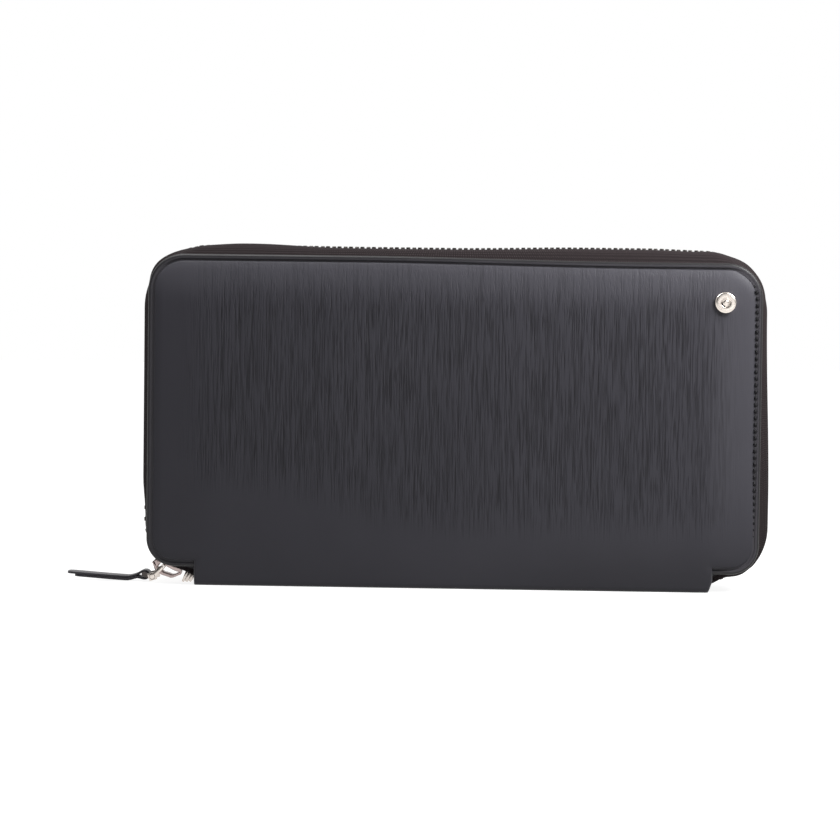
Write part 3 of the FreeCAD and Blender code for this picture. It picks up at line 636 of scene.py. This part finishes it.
def skin_faces(starts, rows):
    """Faces between columns of points that start at these numbers. Those over the foot have more points than rows."""
    faces = []
    for a, b, after in zip(starts, starts[1:], starts[2:]):
        size_a, size_b = b - a, after - b
        if size_a == size_b:
            faces += [(a + k, a + (k + 1) % size_a, b + (k + 1) % size_a, b + k) for k in range(size_a)]
            continue
        ends_a = [a + k for k in range(rows)] + [a + size_a - 2, a + size_a - 1]
        ends_b = [b + k for k in range(rows)] + [b + size_b - 2, b + size_b - 1]
        ring = len(ends_a)
        faces += [(ends_a[k], ends_a[(k + 1) % ring], ends_b[(k + 1) % ring], ends_b[k]) for k in range(ring)]
        long, size = (a, size_a) if size_a > size_b else (b, size_b)
        faces.append(tuple(long + k for k in range(rows - 1, size - 1)))
    return faces + [tuple(range(starts[0], starts[1])), tuple(range(starts[-2], starts[-1]))]


def cover_skin(side, name):
    """The outer leather of a cover over its padding, with the half of the spine's leather that it runs into."""
    columns = skin_columns()
    top, bottom = field_edge(columns, True), field_edge(columns, False)
    height = FIELD.top - FIELD.bottom
    inner_rows = np.linspace(EDGE_ROWS[-1], height - EDGE_ROWS[-1], ROWS)[1:-1]
    rows = np.concatenate([EDGE_ROWS, inner_rows, height - np.array(EDGE_ROWS[::-1])]) / height
    x = np.repeat(columns[:, None], len(rows), 1)
    z = bottom[:, None] + (top - bottom)[:, None] * rows[None, :]
    crease_and_painted_shade = pressed_grain(x, z, GRAIN_SEED + side)
    swell = 0.05 * np.sin(x / 9.0 + 1.3) * np.sin(z / 13.0) + 0.03 * np.sin(x / 3.1 + z / 41.0)
    depth = field_depth(x, z) - CREASE_DEPTH * crease_and_painted_shade + swell * np.clip(field_inset(x, z) / 8.0, 0, 1)
    points, starts, shade_in_creases = [], [], []
    for i, place in enumerate(columns):
        loop = [(place, side * d, h) for d, h in zip(depth[i, ::-1], z[i, ::-1])]
        if FOOT_LEFT - 1e-6 <= place <= FOOT_RIGHT + 1e-6:
            loop += foot_loop(place, side)
        loop += [(place, side * SEAM_DEPTH, bottom[i]), (place, side * SEAM_DEPTH, top[i])]
        shade_in_creases += list(crease_and_painted_shade[i, ::-1]) + [0.0] * (len(loop) - len(rows))
        starts.append(len(points))
        points += loop
    starts.append(len(points))
    made = new_piece(name, settled(points), skin_faces(starts, len(rows)), GRAINED, sharp=60.0)
    x, z = np.array(points)[:, 0], np.array(points)[:, 2]
    # painted shade in the creases and along the foot
    point_values(made, "crease_and_painted_shade", np.maximum(shade_in_creases, painted_foot_shade(x, z)))
    point_values(made, "pressed", grain_fade(x, z))
    # painted highlight along the upper and right edges
    point_values(made, "wear_and_painted_highlight", painted_edge_highlight(x, z))
    return made


# (inset, depth) section of the rim. Its edge is painted dark up to an inset that also takes in the rim's top-facing
# part as painted shade, and its wall stands up where the seam is shut
RIM_PROFILE = (
    (2.1, 10.2), (2.1, 10.8), (1.66, 10.86), (1.5, 11.1), (1.42, 11.36), (1.24, 11.5), (0.9, 11.56), (0.55, 11.5),
    (0.25, 11.3), (0.06, 11.0), (0.0, 10.7), (0.05, 10.4), (0.25, 10.2), (0.6, 10.12),
)
EDGE_PAINT_AND_SHADE_INSET, WALL_INSET, WALL_FOOT = 0.6, 1.3, 10.5


def cover_rim(side, name):
    """The turned and sewn edge of the cover outside the seam groove."""
    line, outward = outline_line(COVER)
    rings = []
    for p, o in zip(line, outward):
        shut = 10.8 + 0.6 * float(seam_shut(*p))
        ring = []
        for inset, depth in RIM_PROFILE:
            raised = max(depth, shut) if inset > WALL_INSET and depth > WALL_FOOT else depth
            ring.append((p[0] - inset * o[0], side * raised, p[1] - inset * o[1]))
        rings.append(ring)
    points, faces = tube(rings)
    made = new_piece(name, settled(points), faces, RIM_LEATHER, sharp=70.0)
    edge = np.array([inset < EDGE_PAINT_AND_SHADE_INSET for inset, _ in RIM_PROFILE], float)
    # painted shade: the dark edge reaches over the rim at the upper left
    upper_left_shade = 0.35 * fall(line[:, 0], -40, 40) * rise(line[:, 1], 88, 104)
    point_values(made, "edge_paint_and_shade", np.maximum(edge[None, :], upper_left_shade[:, None]).ravel())
    return made


def seam_line(side):
    """The line of the seam's stitches, which stand up on the right side and lie sunk in the groove elsewhere."""
    seam = at_depth(outline_line(grown(COVER, -1.84))[0], side, 10.7)
    x, z = seam[:, 0], seam[:, 2]
    risen = 0.95 * seam_shut(x, z) * (x > 0) * rise(z, 12, 40)
    sunk = 1 - rise(x, 50, 76) * fall(z, 97, 101)
    seam[:, 1] += side * (risen * (1 - sunk) - 0.4 * sunk)
    return settled(seam)


# Zip

END_SLOPE, END_HEIGHT = math.radians(24.0), 2.7
# Depth of each line of points along the tape, and its share of the way out from the seam to the teeth
TAPE_STATIONS = (
    (9.9, -0.05), (9.4, 0.12), (8.8, 0.38), (8.2, 0.63), (7.5, 0.83), (6.7, 0.95), (5.8, 1.0), (4.6, 1.03), (3.4, 1.02),
    (2.2, 1.0), (1.4, 1.0),
)
TAPE_HALF, TAPE_EDGE, END_NARROWED = 0.35, 1.4, 0.66
BELLY_DEPTH, BELLY_SPREAD = 4.8, 2.2
TOOTH_PROFILE = (
    (3.2, 0.4), (3.2, 1.1), (0.5, 1.2), (-0.5, 1.0), (-0.5, -0.85), (0.5, -1.2), (3.2, -1.2), (3.2, -0.4), (1.3, -0.4),
    (1.3, 0.4),
)
TOOTH_HALF = 0.62


def zip_line():
    """The line of the teeth, sloping down into the foot at both ends."""
    line, outward = outline_line(ZIP)
    wide = np.abs(line[:, 0])
    tangent_x = CORNER_X + ZIP.bottom_radius * math.sin(END_SLOPE)
    tangent_z = CORNER_Z - ZIP.bottom_radius * math.cos(END_SLOPE)
    sloping = np.maximum(tangent_z - (tangent_x - wide) * math.tan(END_SLOPE), END_HEIGHT)
    ends = (wide < tangent_x) & (line[:, 1] < CORNER_Z)
    line[ends, 1] = sloping[ends]
    over = rise(line[:, 1], 96, 108)
    x = line[:, 0]
    raised_left = rise(x, -86, -66) * fall(x, -62, -26)
    raised_right = rise(x, 0, 40) * fall(x, 60, 84)
    line[:, 1] += over * (0.2 * raised_left + 0.6 * raised_right - 0.2)
    return line, outward


ZIP_LINE, ZIP_OUT = zip_line()
ZIP_RUN = running_lengths(ZIP_LINE)
LOW_LEFT, LOW_RIGHT = LINE_STEPS[0], len(ZIP_LINE) - 1 - LINE_STEPS[0]


def run_at(angle, right):
    """Running length along the zip at an angle of a lower corner, counted from straight down."""
    steps = angle / 90.0 * LINE_STEPS[1]
    index = LOW_RIGHT - steps if right else LOW_LEFT + steps
    return float(np.interp(index, np.arange(len(ZIP_RUN)), ZIP_RUN))


def zip_place(run):
    """(x, z) points of the zip's line at running lengths."""
    return np.column_stack([np.interp(run, ZIP_RUN, ZIP_LINE[:, k]) for k in (0, 1)])


def tape_swell(x, z):
    """How far the tape bellies out past the teeth: at the sides and round the corners, most at the upper left."""
    wide = rise(abs(x), 86, 95)
    if x < 0:
        sides = 0.95 * wide * rise(z, 21, 34)
        corner = 2.9 * fall(x, -99, -82)
        shoulder = 0.95 * fall(x, -66, -36) * rise(x, -90, -68)
        return float(max(sides, (0.15 + corner + shoulder) * rise(z, 92, 103)))
    sides = (0.95 + 1.4 * fall(z, 30, 90)) * wide * rise(z, 3, 10)
    over = 0.15 + 0.5 * rise(x, 74, 86) + rise(x, 86, 93)
    drop = 0.6 * rise(x, 79, 82) * fall(x, 83, 89)
    low = (2.1 * rise(x, 86, 93) + drop) * fall(z, 8, 26)
    return float(max(sides, low, over * rise(z, 86, 100)))


def zip_tape(side, name):
    """Woven tape from the cover's seam, swelling out to the teeth and running on at both ends into the foot."""
    seam, _ = outline_line(grown(COVER, -0.9)._replace(end=ZIP.end))
    seam[:, 1] -= top_sag(seam[:, 0], seam[:, 1])
    rings = []
    for start, end, out in zip(seam, ZIP_LINE, ZIP_OUT):
        free = fall(abs(end[0]), 77.0, 82.5) if end[1] < 50 else 0.0
        swell = tape_swell(*end)
        outer, inner = [], []
        for depth, share in TAPE_STATIONS:
            y = side * (depth * (1 - free) + (TAPE_EDGE + (depth - TAPE_EDGE) * END_NARROWED) * free)
            middle = start + (share * (1 - free) + free) * (end - start)
            middle = middle + out * swell * math.exp(-(((depth - BELLY_DEPTH) / BELLY_SPREAD) ** 2))
            for face, half in ((outer, TAPE_HALF), (inner, -TAPE_HALF)):
                face.append((middle[0] + half * out[0], y, middle[1] + half * out[1]))
        rings.append(outer + inner[::-1])
    made = new_piece(name, *tube(rings), TAPE_CLOTH, sharp=50.0)
    widths = [depth for depth, _ in TAPE_STATIONS + TAPE_STATIONS[::-1]]
    map_weave(made, np.repeat(ZIP_RUN, len(widths)), np.tile(widths, len(ZIP_RUN)))
    return made


def zip_teeth(side, name, first, last):
    """Teeth clamped on the tape's edge, each with two legs and a rounded head that locks between its neighbours."""
    rings = [[(x, side * depth, height) for depth, height in TOOTH_PROFILE] for x in (-TOOTH_HALF, TOOTH_HALF)]
    shape = new_piece(name + "_one", *tube(rings), GUNMETAL, soften=0.16)
    start = first if side == FRONT else first + TOOTH_PITCH / 2
    count = int((last - start) / TOOTH_PITCH)
    line = zip_place(np.linspace(start, start + count * TOOTH_PITCH, count * 8 + 1))
    made = repeated(name, [at_depth(line, side, 0.0)], shape, TOOTH_PITCH * 0.9999, GUNMETAL)
    bpy.data.objects.remove(shape)
    return made


# Slider, pull and stops

BRIDGE_HALF = 2.0
STRAP_HALF, STRAP_CORNER = 3.2, 1.6
STRAP_SECTION = (
    (-1, -0.22), (-0.97, -0.34), (-0.9, -0.375), (0.9, -0.375), (0.97, -0.34), (1, -0.22), (1, 0.22), (0.97, 0.34),
    (0.9, 0.375), (-0.9, 0.375), (-0.97, 0.34), (-1, 0.22),
)
RING_ARM = (
    (0.75, 0.3), (0.3, 0.75), (-0.5, 0.6), (-2.2, -0.45), (-4.7, -0.2), (-4.75, -2.75), (-2.2, -2.9), (-1.9, -1.5),
    (0.1, -0.8), (0.75, -0.4),
)
PIN_LUG = ((-4.2, -0.5), (-5.4, 0.8), (-6.2, 0.7), (-6.5, -0.2), (-5.9, -0.9), (-4.2, -2.2))
# painted shade discs for the ring's square eyes
EYE_SHADE_X, EYE_SHADE_Z = -3.4, -1.65
EYE_SHADE_DISC = ((4.5, 0.95), (4.72, 0.95), (4.72, 0.8), (4.55, 0.72), (4.55, 0.2))
STOP_FIRST, STOP_STEP = 3.0, 3.4


def corner_shape(section, angles):
    """A curved bar about the zip's lower left corner: section(angle) gives (radius, y) points."""
    rings = []
    for angle in angles:
        turn = math.radians(angle)
        rings.append([(-CORNER_X - r * math.sin(turn), y, CORNER_Z - r * math.cos(turn)) for r, y in section(angle)])
    return tube(rings)


def plate_section(angle, lip, shoulder, face, roof):
    """Section of a slider plate: lips beside the channel for the teeth, its roof, and a face with broken edges."""
    w = 4.6 - 0.5 * rise(angle, 36, 47) - 0.5 * fall(angle, 15, 24)
    return [
        (lip, -w), (shoulder, -w), (face, -w + 0.5), (face, w - 0.5), (shoulder, w), (lip, w), (lip, w - 0.7),
        (roof, w - 0.75), (roof, -w + 0.75), (lip, -w + 0.7),
    ]


def slider_shell():
    """Two plates joined by a post at the slider's open end."""
    angles = np.linspace(16, 46, 15)

    def outer_plate(angle):
        high = 18.0 - 0.3 * rise(angle, 42, 46) - 0.3 * fall(angle, 16, 19)
        return plate_section(angle, 16.6, high - 0.3, high, 17.35)

    def inner_plate(angle):
        return plate_section(angle, 14.95, 13.5, 13.2, 14.4)

    def post(angle):
        return [(14.2, -1.1), (17.8, -1.1), (17.8, 1.1), (14.2, 1.1)]

    parts = ((outer_plate, angles), (inner_plate, angles), (post, (16.6, 17.3, 18.0)))
    return new_piece("slider_shell", *merged([corner_shape(*part) for part in parts]), ZIP_NICKEL, soften=0.14)


def slider_bridge():
    """The arch that the ring hangs in: a leg at its left end and a top that runs down into the plate at its right."""
    wide = BRIDGE_HALF

    def leg(angle):
        return [(17.8, -wide), (20.4, -wide), (20.4, wide), (17.8, wide)]

    def top(angle):
        drawn_in = fall(angle, 26, 33)
        foot = fall(angle, 14.5, 25)
        end = rise(angle, 38, 46)
        high = 21.6 - 0.5 * drawn_in - 2.4 * foot - 1.2 * end
        low = 20.3 - 0.45 * drawn_in - 2.5 * foot - 0.9 * end
        right = [(high, wide - 0.4), (high - 0.3, wide), (low, wide)]
        return [(low, -wide), (high - 0.3, -wide), (high, -wide + 0.4)] + right

    shapes = [corner_shape(leg, np.linspace(39.5, 46, 4)), corner_shape(top, np.linspace(16.2, 46, 16))]
    return new_piece("slider_bridge", *merged(shapes), ZIP_NICKEL, soften=0.12)


def turned(points, degrees, pivot):
    """Points in the mid plane's own axes, raised by an angle towards the left end and moved to a pivot."""
    points = np.asarray(points, float)
    c, s = math.cos(math.radians(degrees)), math.sin(math.radians(degrees))
    x, z = points[:, 0], points[:, 2]
    return np.column_stack([x * c + z * s, points[:, 1], -x * s + z * c]) + pivot


def lathe(x, z, stages, steps):
    """A round shape about an axis along Y, through (y, radius) stages."""
    turns = np.linspace(0, 2 * math.pi, steps, endpoint=False)
    return tube([[(x + r * math.cos(t), y, z + r * math.sin(t)) for t in turns] for y, r in stages])


def round_bar(radius, half, x):
    """A bar along Y with broken edges."""
    narrow = 0.8 * radius
    return lathe(x, 0.0, ((-half, narrow), (-half + 0.15, radius), (half - 0.15, radius), (half, narrow)), 16)


def pull_part(name, shapes, material, soften=0.0):
    """A piece of the pull ring from shapes in the ring's own axes."""
    points, faces = merged(shapes)
    return new_piece(name, turned(points, -RING_TURN, RING_PIVOT), faces, material, soften)


def ring_bar():
    """Oblong ring: a thin bar in the bridge and two arms that end in square eyes."""
    shapes = [round_bar(0.6, 3.9, 0.0)]
    for side in (FRONT, BACK):
        shapes.append(tube([[(x, side * y, z) for x, z in RING_ARM] for y in (3.5, 4.7)]))
    return pull_part("pull_ring_bar", shapes, NICKEL, soften=0.14)


def ring_pins():
    """The darker hinge pin in the strap with its two lugs, and dark discs in the ring's square eyes, painted shade of
    their hollows.
    """
    shapes = [round_bar(0.75, 4.2, -RING_LENGTH)]
    for side in (FRONT, BACK):
        shapes.append(tube([[(x, side * y, z) for x, z in PIN_LUG] for y in (3.6, 4.5)]))
        # painted shade: a dark metal disc in each square eye
        shapes.append(lathe(EYE_SHADE_X, EYE_SHADE_Z, [(side * y, r) for y, r in EYE_SHADE_DISC], 20))
    return pull_part("pull_ring_pins", shapes, GUNMETAL)


def strap_line():
    """The middle of the folded strip: in along the upper layer, round the pin and out along the lower layer."""
    half, eye = 0.39, 1.2

    def drop(u):
        return -0.4 - 1.45 * rise(-u, 0.3, 6.0) + 0.25 * rise(-u, 8.0, 26.0)

    def layer(way, first, last, count):
        places = np.linspace(first, last, count)
        return [(u, drop(u) + way * (half + (eye - half) * rise(u, -2.8, -0.4))) for u in places]

    bend = [(eye * math.sin(t), drop(0) + eye * math.cos(t)) for t in np.radians(np.linspace(0, 180, 15))]
    return np.array(layer(1, -25.2, -0.5, 26) + bend + layer(-1, -0.5, -22.8, 24))


def strap_piece():
    """The leather strap, folded round the ring's pin, with rounded ends."""
    line = strap_line()
    run = running_lengths(line)
    rings = []
    for p, normal, r in zip(line, square_to(line), run):
        tip = min(r, run[-1] - r)
        cut = max(0.0, STRAP_CORNER - tip - 0.05)
        half = STRAP_HALF - STRAP_CORNER + math.sqrt(max(0.0, STRAP_CORNER ** 2 - cut ** 2))
        half *= 1 - 0.12 * rise(tip, 12, 26)
        rings.append([(p[0] + out * normal[0], across * half, p[1] + out * normal[1]) for across, out in STRAP_SECTION])
    points, faces = tube(rings)
    return new_piece("pull_strap_leather", turned(points, STRAP_TURN, STRAP_PIVOT), faces, SMOOTH, sharp=70.0)


def stop_clips(right, name):
    """Metal stops pinched on the tape's edge beside the foot: ridged clips, one on each tape or one across both."""
    low = -0.3 if right else 0.5
    spans = ((-2.9, 2.9),) if right else ((-3.0, -0.35), (0.35, 3.0))
    shapes = []
    for i, reach in enumerate((0.5, 0.5, 0.5) if right else (3.3, 3.8, 4.3)):
        run = run_at(STOP_FIRST + STOP_STEP * i, right)
        before, after = zip_place([run - 0.45, run + 0.45])
        along = (after - before) / np.linalg.norm(after - before)
        out = np.array([-along[1], along[0]])
        corners = ((-0.5, low), (0.5, low), (0.42, reach), (-0.42, reach))
        flat = [(before + after) / 2 + a * along + b * out for a, b in corners]
        shapes += [tube([[(p[0], y, p[1]) for p in flat] for y in span]) for span in spans]
    return new_piece(name, *merged(shapes), NICKEL, soften=0.14)


# Corner stud

STUD_DISC = (
    (1.1, 13.0), (1.34, 13.0), (1.36, 14.2), (1.42, 14.32), (1.55, 14.38), (2.0, 14.4), (2.8, 14.4), (3.08, 14.34),
    (3.28, 14.18), (3.38, 13.95), (3.4, 13.7), (3.4, 12.8),
)
STUD_PIN = ((0.3, 14.6), (0.86, 14.6), (0.95, 14.52), (0.98, 14.4), (0.98, 12.9))


def stud_part(name, profile):
    """A piece of the stud from its (radius, depth) profile."""
    stages = [(-depth, radius) for radius, depth in profile]
    return new_piece(name, *lathe(STUD_X, STUD_Z, stages, 48), NICKEL, sharp=50.0)


# Inside

POCKET_HALF = 85
BAND_PLACE, BAND_HALF = 38.0, 11
LOOP_RADIUS, BAND_BASE, LOOP_SHOULDER = 7.75, 7.2, 4.45
FOLD_LINING_SECTION = (
    (8.95, 7.0), (8.9, 5.2), (8.7, 4.2), (8.45, 3.45), (8.1, 3.08), (7.0, 3.06), (7.0, 2.7), (8.3, 2.7), (8.9, 3.2),
    (9.15, 4.2), (9.25, 5.2), (9.25, 7.0),
)


def pocket_sheet():
    """Slip pocket: a leather sheet sewn down at its sides and bottom, standing off the lining in between."""
    rings = []
    for z in np.linspace(9, 78, 29):
        outer, inner = [], []
        for x in np.linspace(-POCKET_HALF, POCKET_HALF, 61):
            loose = rise(POCKET_HALF - abs(x), 2.5, 9) * rise(z, 11.5, 18)
            sag = 0.1 * math.sin(x / 17.0) * loose
            outer.append((x, -(8.48 - 0.72 * loose), z))
            inner.append((x, -(7.55 - 0.68 * loose + sag), z))
        rings.append(outer + inner[::-1])
    return new_piece("slip_pocket_leather", *tube(rings), LINING)


def band_line():
    """(z, depth) line of an elastic band: flat between the pens, up and over each pen."""
    ramp = ((2.9, 0.0), (0.7, 0.0), (0.2, 0.2), (0.0, 0.7))
    line = []
    for centre in PEN_HEIGHTS:
        line += [(centre - LOOP_RADIUS - gap, BAND_BASE - lift) for gap, lift in ramp]
        for turn in np.radians(np.linspace(0, 180, 19)):
            line.append((centre - LOOP_RADIUS * math.cos(turn), LOOP_SHOULDER - LOOP_RADIUS * math.sin(turn)))
        line += [(centre + LOOP_RADIUS + gap, BAND_BASE - lift) for gap, lift in ramp[::-1]]
    return np.array(line)


def pen_band(centre, name):
    """Elastic sewn down between the pens and standing up over each, with rubber cords as ribs along it."""
    line = band_line()
    places = np.linspace(-BAND_HALF, BAND_HALF, 45)
    thick = 0.36 + 0.14 * np.abs(np.sin(np.pi * (places + BAND_HALF) / 2.0))
    rings = []
    for (z, depth), (up, out) in zip(line, square_to(line)):
        top = [(centre + w, depth + out * t, z + up * t) for w, t in zip(places, thick)]
        under = [(centre + w, depth - out * t, z - up * t) for w, t in zip(places, thick)]
        rings.append(top + under[::-1])
    made = new_piece(name, *tube(rings), ELASTIC_CLOTH)
    widths = np.concatenate([places, places[::-1]])
    map_weave(made, np.repeat(running_lengths(line), len(widths)), np.tile(widths, len(line)))
    return made


def fold_lining(side, name):
    """Lining that bridges the fold between a cover's lining and the spine's."""
    rings = [[(x, side * depth, z) for depth, z in FOLD_LINING_SECTION] for x in np.linspace(-78, 78, 27)]
    return new_piece(name, *tube(rings), LINING)


# Building the case


def declare(piece, slot, body, *nodes):
    """Hides the CAD nodes that a piece stands for and hangs the piece on the body that it rides, unless it bends. The
    slot is not used.
    """
    if nodes:
        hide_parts(*nodes)
    if body:
        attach(piece, body)


def fine_stitches(name, lines, body, pitch=FINE_PITCH):
    declare(repeated(name, lines, FINE_STITCH, pitch, THREAD), "thread", body)


for side, half in HALVES:
    cover = half + "_cover"
    skin = cover_skin(side, half + "_cover_leather")
    declare(skin, "grained_leather", None, half + "_leather", half + "_padding", "spine_leather")
    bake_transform(skin)

    declare(cover_rim(side, half + "_cover_rim"), "smooth_leather", cover, half + "_leather")
    stitches = repeated(half + "_seam_stitches", [seam_line(side)], STITCH, STITCH_PITCH, THREAD)
    declare(stitches, "thread", cover, half + "_thread")

    tape = zip_tape(side, half + "_zip_tape")
    declare(tape, "zip_tape", None, half + "_tape", "tape_end_left", "tape_end_right")
    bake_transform(tape)

    teeth = zip_teeth(side, half + "_zip_teeth", run_at(50.3, False), run_at(13.5, True))
    declare(teeth, "zip_metal", None, half + "_teeth", half + "_corner_teeth", "end_teeth")
    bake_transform(teeth)

    lining_box = rounded_box(-96.2, 96.2, 4.6, 104.6, 17.0, 12)
    lining = sewn_sheet(half + "_lining_leather", lining_box, side, 9.3, INSIDE_DEPTH)
    declare(lining, "lining_leather", cover, half + "_lining")
    lining_seam = at_depth(closed(rounded_box(-93.7, 93.7, 7.4, 102.1, 15.0, 12)[0]), side, 8.45)
    fine_stitches(half + "_lining_stitches", [lining_seam], cover)

    bridge = fold_lining(side, half + "_fold_lining")
    declare(bridge, "lining_leather", None)
    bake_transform(bridge)

declare(slider_shell(), "zip_metal", "slider", "slider_body")
declare(slider_bridge(), "zip_metal", "slider", "slider_crown")
declare(ring_bar(), "zip_metal", "pull_ring", "pull_ring")
declare(ring_pins(), "zip_metal", "pull_ring")
declare(strap_piece(), "smooth_leather", "pull_strap", "pull_strap")
declare(stop_clips(False, "left_zip_stops"), "zip_metal", "spine", "top_stops")
declare(stop_clips(True, "right_zip_stop"), "zip_metal", "spine", "bottom_stop")
declare(stud_part("stud_disc", STUD_DISC), "steel", "front_cover", "stud_cap")
declare(stud_part("stud_pin", STUD_PIN), "steel", "front_cover", "stud_post")

declare(pocket_sheet(), "lining_leather", "front_cover", "slip_pocket")
pocket_seams = [
    at_depth([(-83.4, 77.6), (-83.4, 10.6), (83.4, 10.6), (83.4, 77.6)], FRONT, 7.5),
    at_depth([(-82, 75.5), (82, 75.5)], FRONT, 6.8),
]
fine_stitches("pocket_stitches", pocket_seams, "front_cover")

panel = sewn_sheet("pen_panel_leather", rounded_box(-88, 88, 9, 100, 4.0), BACK, INSIDE_DEPTH, 7.7)
declare(panel, "lining_leather", "back_cover", "pen_panel")
panel_seam = at_depth(closed(rounded_box(-85.6, 85.6, 11.4, 97.6, 2.5)[0]), BACK, 7.65)
fine_stitches("pen_panel_stitches", [panel_seam], "back_cover")

sewn_heights = [PEN_HEIGHTS[0] - 9.7] + [(a + b) / 2 for a, b in zip(PEN_HEIGHTS, PEN_HEIGHTS[1:])]
sewn_heights.append(PEN_HEIGHTS[-1] + 9.7)
for end, name in ((-1, "left"), (1, "right")):
    middle = end * BAND_PLACE
    declare(pen_band(middle, "pen_elastic_" + name), "elastic", "back_cover", "pen_band_" + name)
    rows = [at_depth([(middle - 10, z), (middle + 10, z)], BACK, 6.7) for z in sewn_heights]
    fine_stitches("pen_elastic_stitches_" + name, rows, "back_cover", BAND_PITCH)
    tab = flat_tab("zip_tab_" + name, *sorted((end * 73.5, end * 80.5)), 7.0, 3.0, 4.0)
    declare(tab, "lining_leather", "spine", "zip_anchor_" + name)

spine_sheet = flat_tab("spine_lining_leather", -80.0, 80.0, 8.3, 2.2, 3.0)
declare(spine_sheet, "lining_leather", "spine", "spine_lining")

for shape in (STITCH, FINE_STITCH):
    bpy.data.objects.remove(shape)

# CAD nodes that stay as they are
for node, material in (("front_board", BOARD), ("back_board", BOARD), ("spine_board", BOARD), ("stud_burr", NICKEL)):
    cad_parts[node].data.materials.clear()
    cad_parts[node].data.materials.append(material)


# Stage, light and camera

FLOOR_REACH = 3.0
AIM = Vector((0.0, 0.0, 0.05))


def stage_floor():
    """White sweep: it keeps the case's shadow, and where nothing shades it the camera sees white."""
    plain = {"Base Color": colour("#909090"), "Roughness": 0.9, "Specular IOR Level": 0.0, "Emission Color": WHITE}
    material, tree = new_material("white_studio_floor", plain)
    seen = add(tree, "ShaderNodeLightPath").outputs
    either = reckoned(tree, "MAXIMUM", seen["Is Camera Ray"], seen["Is Glossy Ray"])
    either = reckoned(tree, "MAXIMUM", either, seen["Is Transmission Ray"])
    oval = add(tree, "ShaderNodeVectorMath", {0: object_place(tree), 1: (0.55, 1.0, 1.0)}, operation="MULTIPLY")
    away = add(tree, "ShaderNodeVectorMath", {0: oval.outputs["Vector"]}, operation="LENGTH").outputs["Value"]
    lift = reckoned(tree, "MULTIPLY", either, ranged(tree, away, 0.84, 1.0, 0.03, 0.09))
    tree.links.new(lift, tree.nodes["Principled BSDF"].inputs["Emission Strength"])
    mesh = bpy.data.meshes.new("studio_floor")
    corners = ((-1, -1), (1, -1), (1, 1), (-1, 1))
    mesh.from_pydata([(x * FLOOR_REACH, y * FLOOR_REACH, 0) for x, y in corners], [], [(0, 1, 2, 3)])
    mesh.materials.append(material)
    linked("studio_floor", mesh)


def studio_world():
    """White for the camera. Its reflections fade towards the front, and as light it comes mostly from behind."""
    world = bpy.data.worlds.new("white_studio")
    scene.world = world
    world.use_nodes = True
    tree = world.node_tree
    seen = add(tree, "ShaderNodeLightPath").outputs
    either = reckoned(tree, "MAXIMUM", seen["Is Camera Ray"], seen["Is Transmission Ray"])
    direction = add(tree, "ShaderNodeTexCoord").outputs["Generated"]
    depth = add(tree, "ShaderNodeSeparateXYZ", {"Vector": direction}).outputs["Y"]
    reflected = ranged(tree, depth, 0.08, 1.0, -0.85, -0.2)
    back_light = ranged(tree, depth, 0.05, 0.7, -0.1, 0.5)
    dimmed = between(tree, seen["Is Glossy Ray"], back_light, reflected)
    sky = tree.nodes["Background"]
    sky.inputs["Color"].default_value = WHITE
    tree.links.new(between(tree, either, dimmed, 1.0), sky.inputs["Strength"])


def soft_box(name, place, size, power):
    """A square studio lamp aimed at the case."""
    lamp = bpy.data.lights.new(name, "AREA")
    lamp.energy, lamp.size = power, size
    made = linked(name, lamp)
    made.location = place
    made.rotation_euler = (AIM - Vector(place)).to_track_quat("-Z", "Y").to_euler()


def photo_camera():
    """Camera at the photo's angle: a long lens a little to the right and above, rolled slightly."""
    azimuth, elevation, roll = math.radians(1.66), math.radians(2.47), math.radians(0.72)
    target, distance = Vector((-10.9, 0.0, 53.5)) * MM, 0.9
    level = math.cos(elevation)
    back = Vector((math.sin(azimuth) * level, -math.cos(azimuth) * level, math.sin(elevation)))
    across = Vector((0, 0, 1)).cross(back).normalized()
    right = across * math.cos(roll) + back.cross(across) * math.sin(roll)
    up = back.cross(right)
    data = bpy.data.cameras.new("photo_camera")
    data.sensor_fit, data.sensor_width, data.lens = "HORIZONTAL", 36.0, 119.3
    data.clip_start, data.clip_end = 0.05, 20.0
    camera = linked("photo_camera", data)
    camera.matrix_world = Matrix((right, up, back)).transposed().to_4x4()
    camera.location = target + back * distance
    scene.camera = camera


stage_floor()
studio_world()
soft_box("key_soft_box", (0.21, -0.13, 0.24), 0.15, 1.25)
soft_box("upper_soft_box", (-0.10, -0.052, 0.33), 0.20, 0.68)
soft_box("front_card", (0.26, -0.90, 0.09), 0.44, 0.67)
photo_camera()
scene.view_settings.view_transform = "Standard"
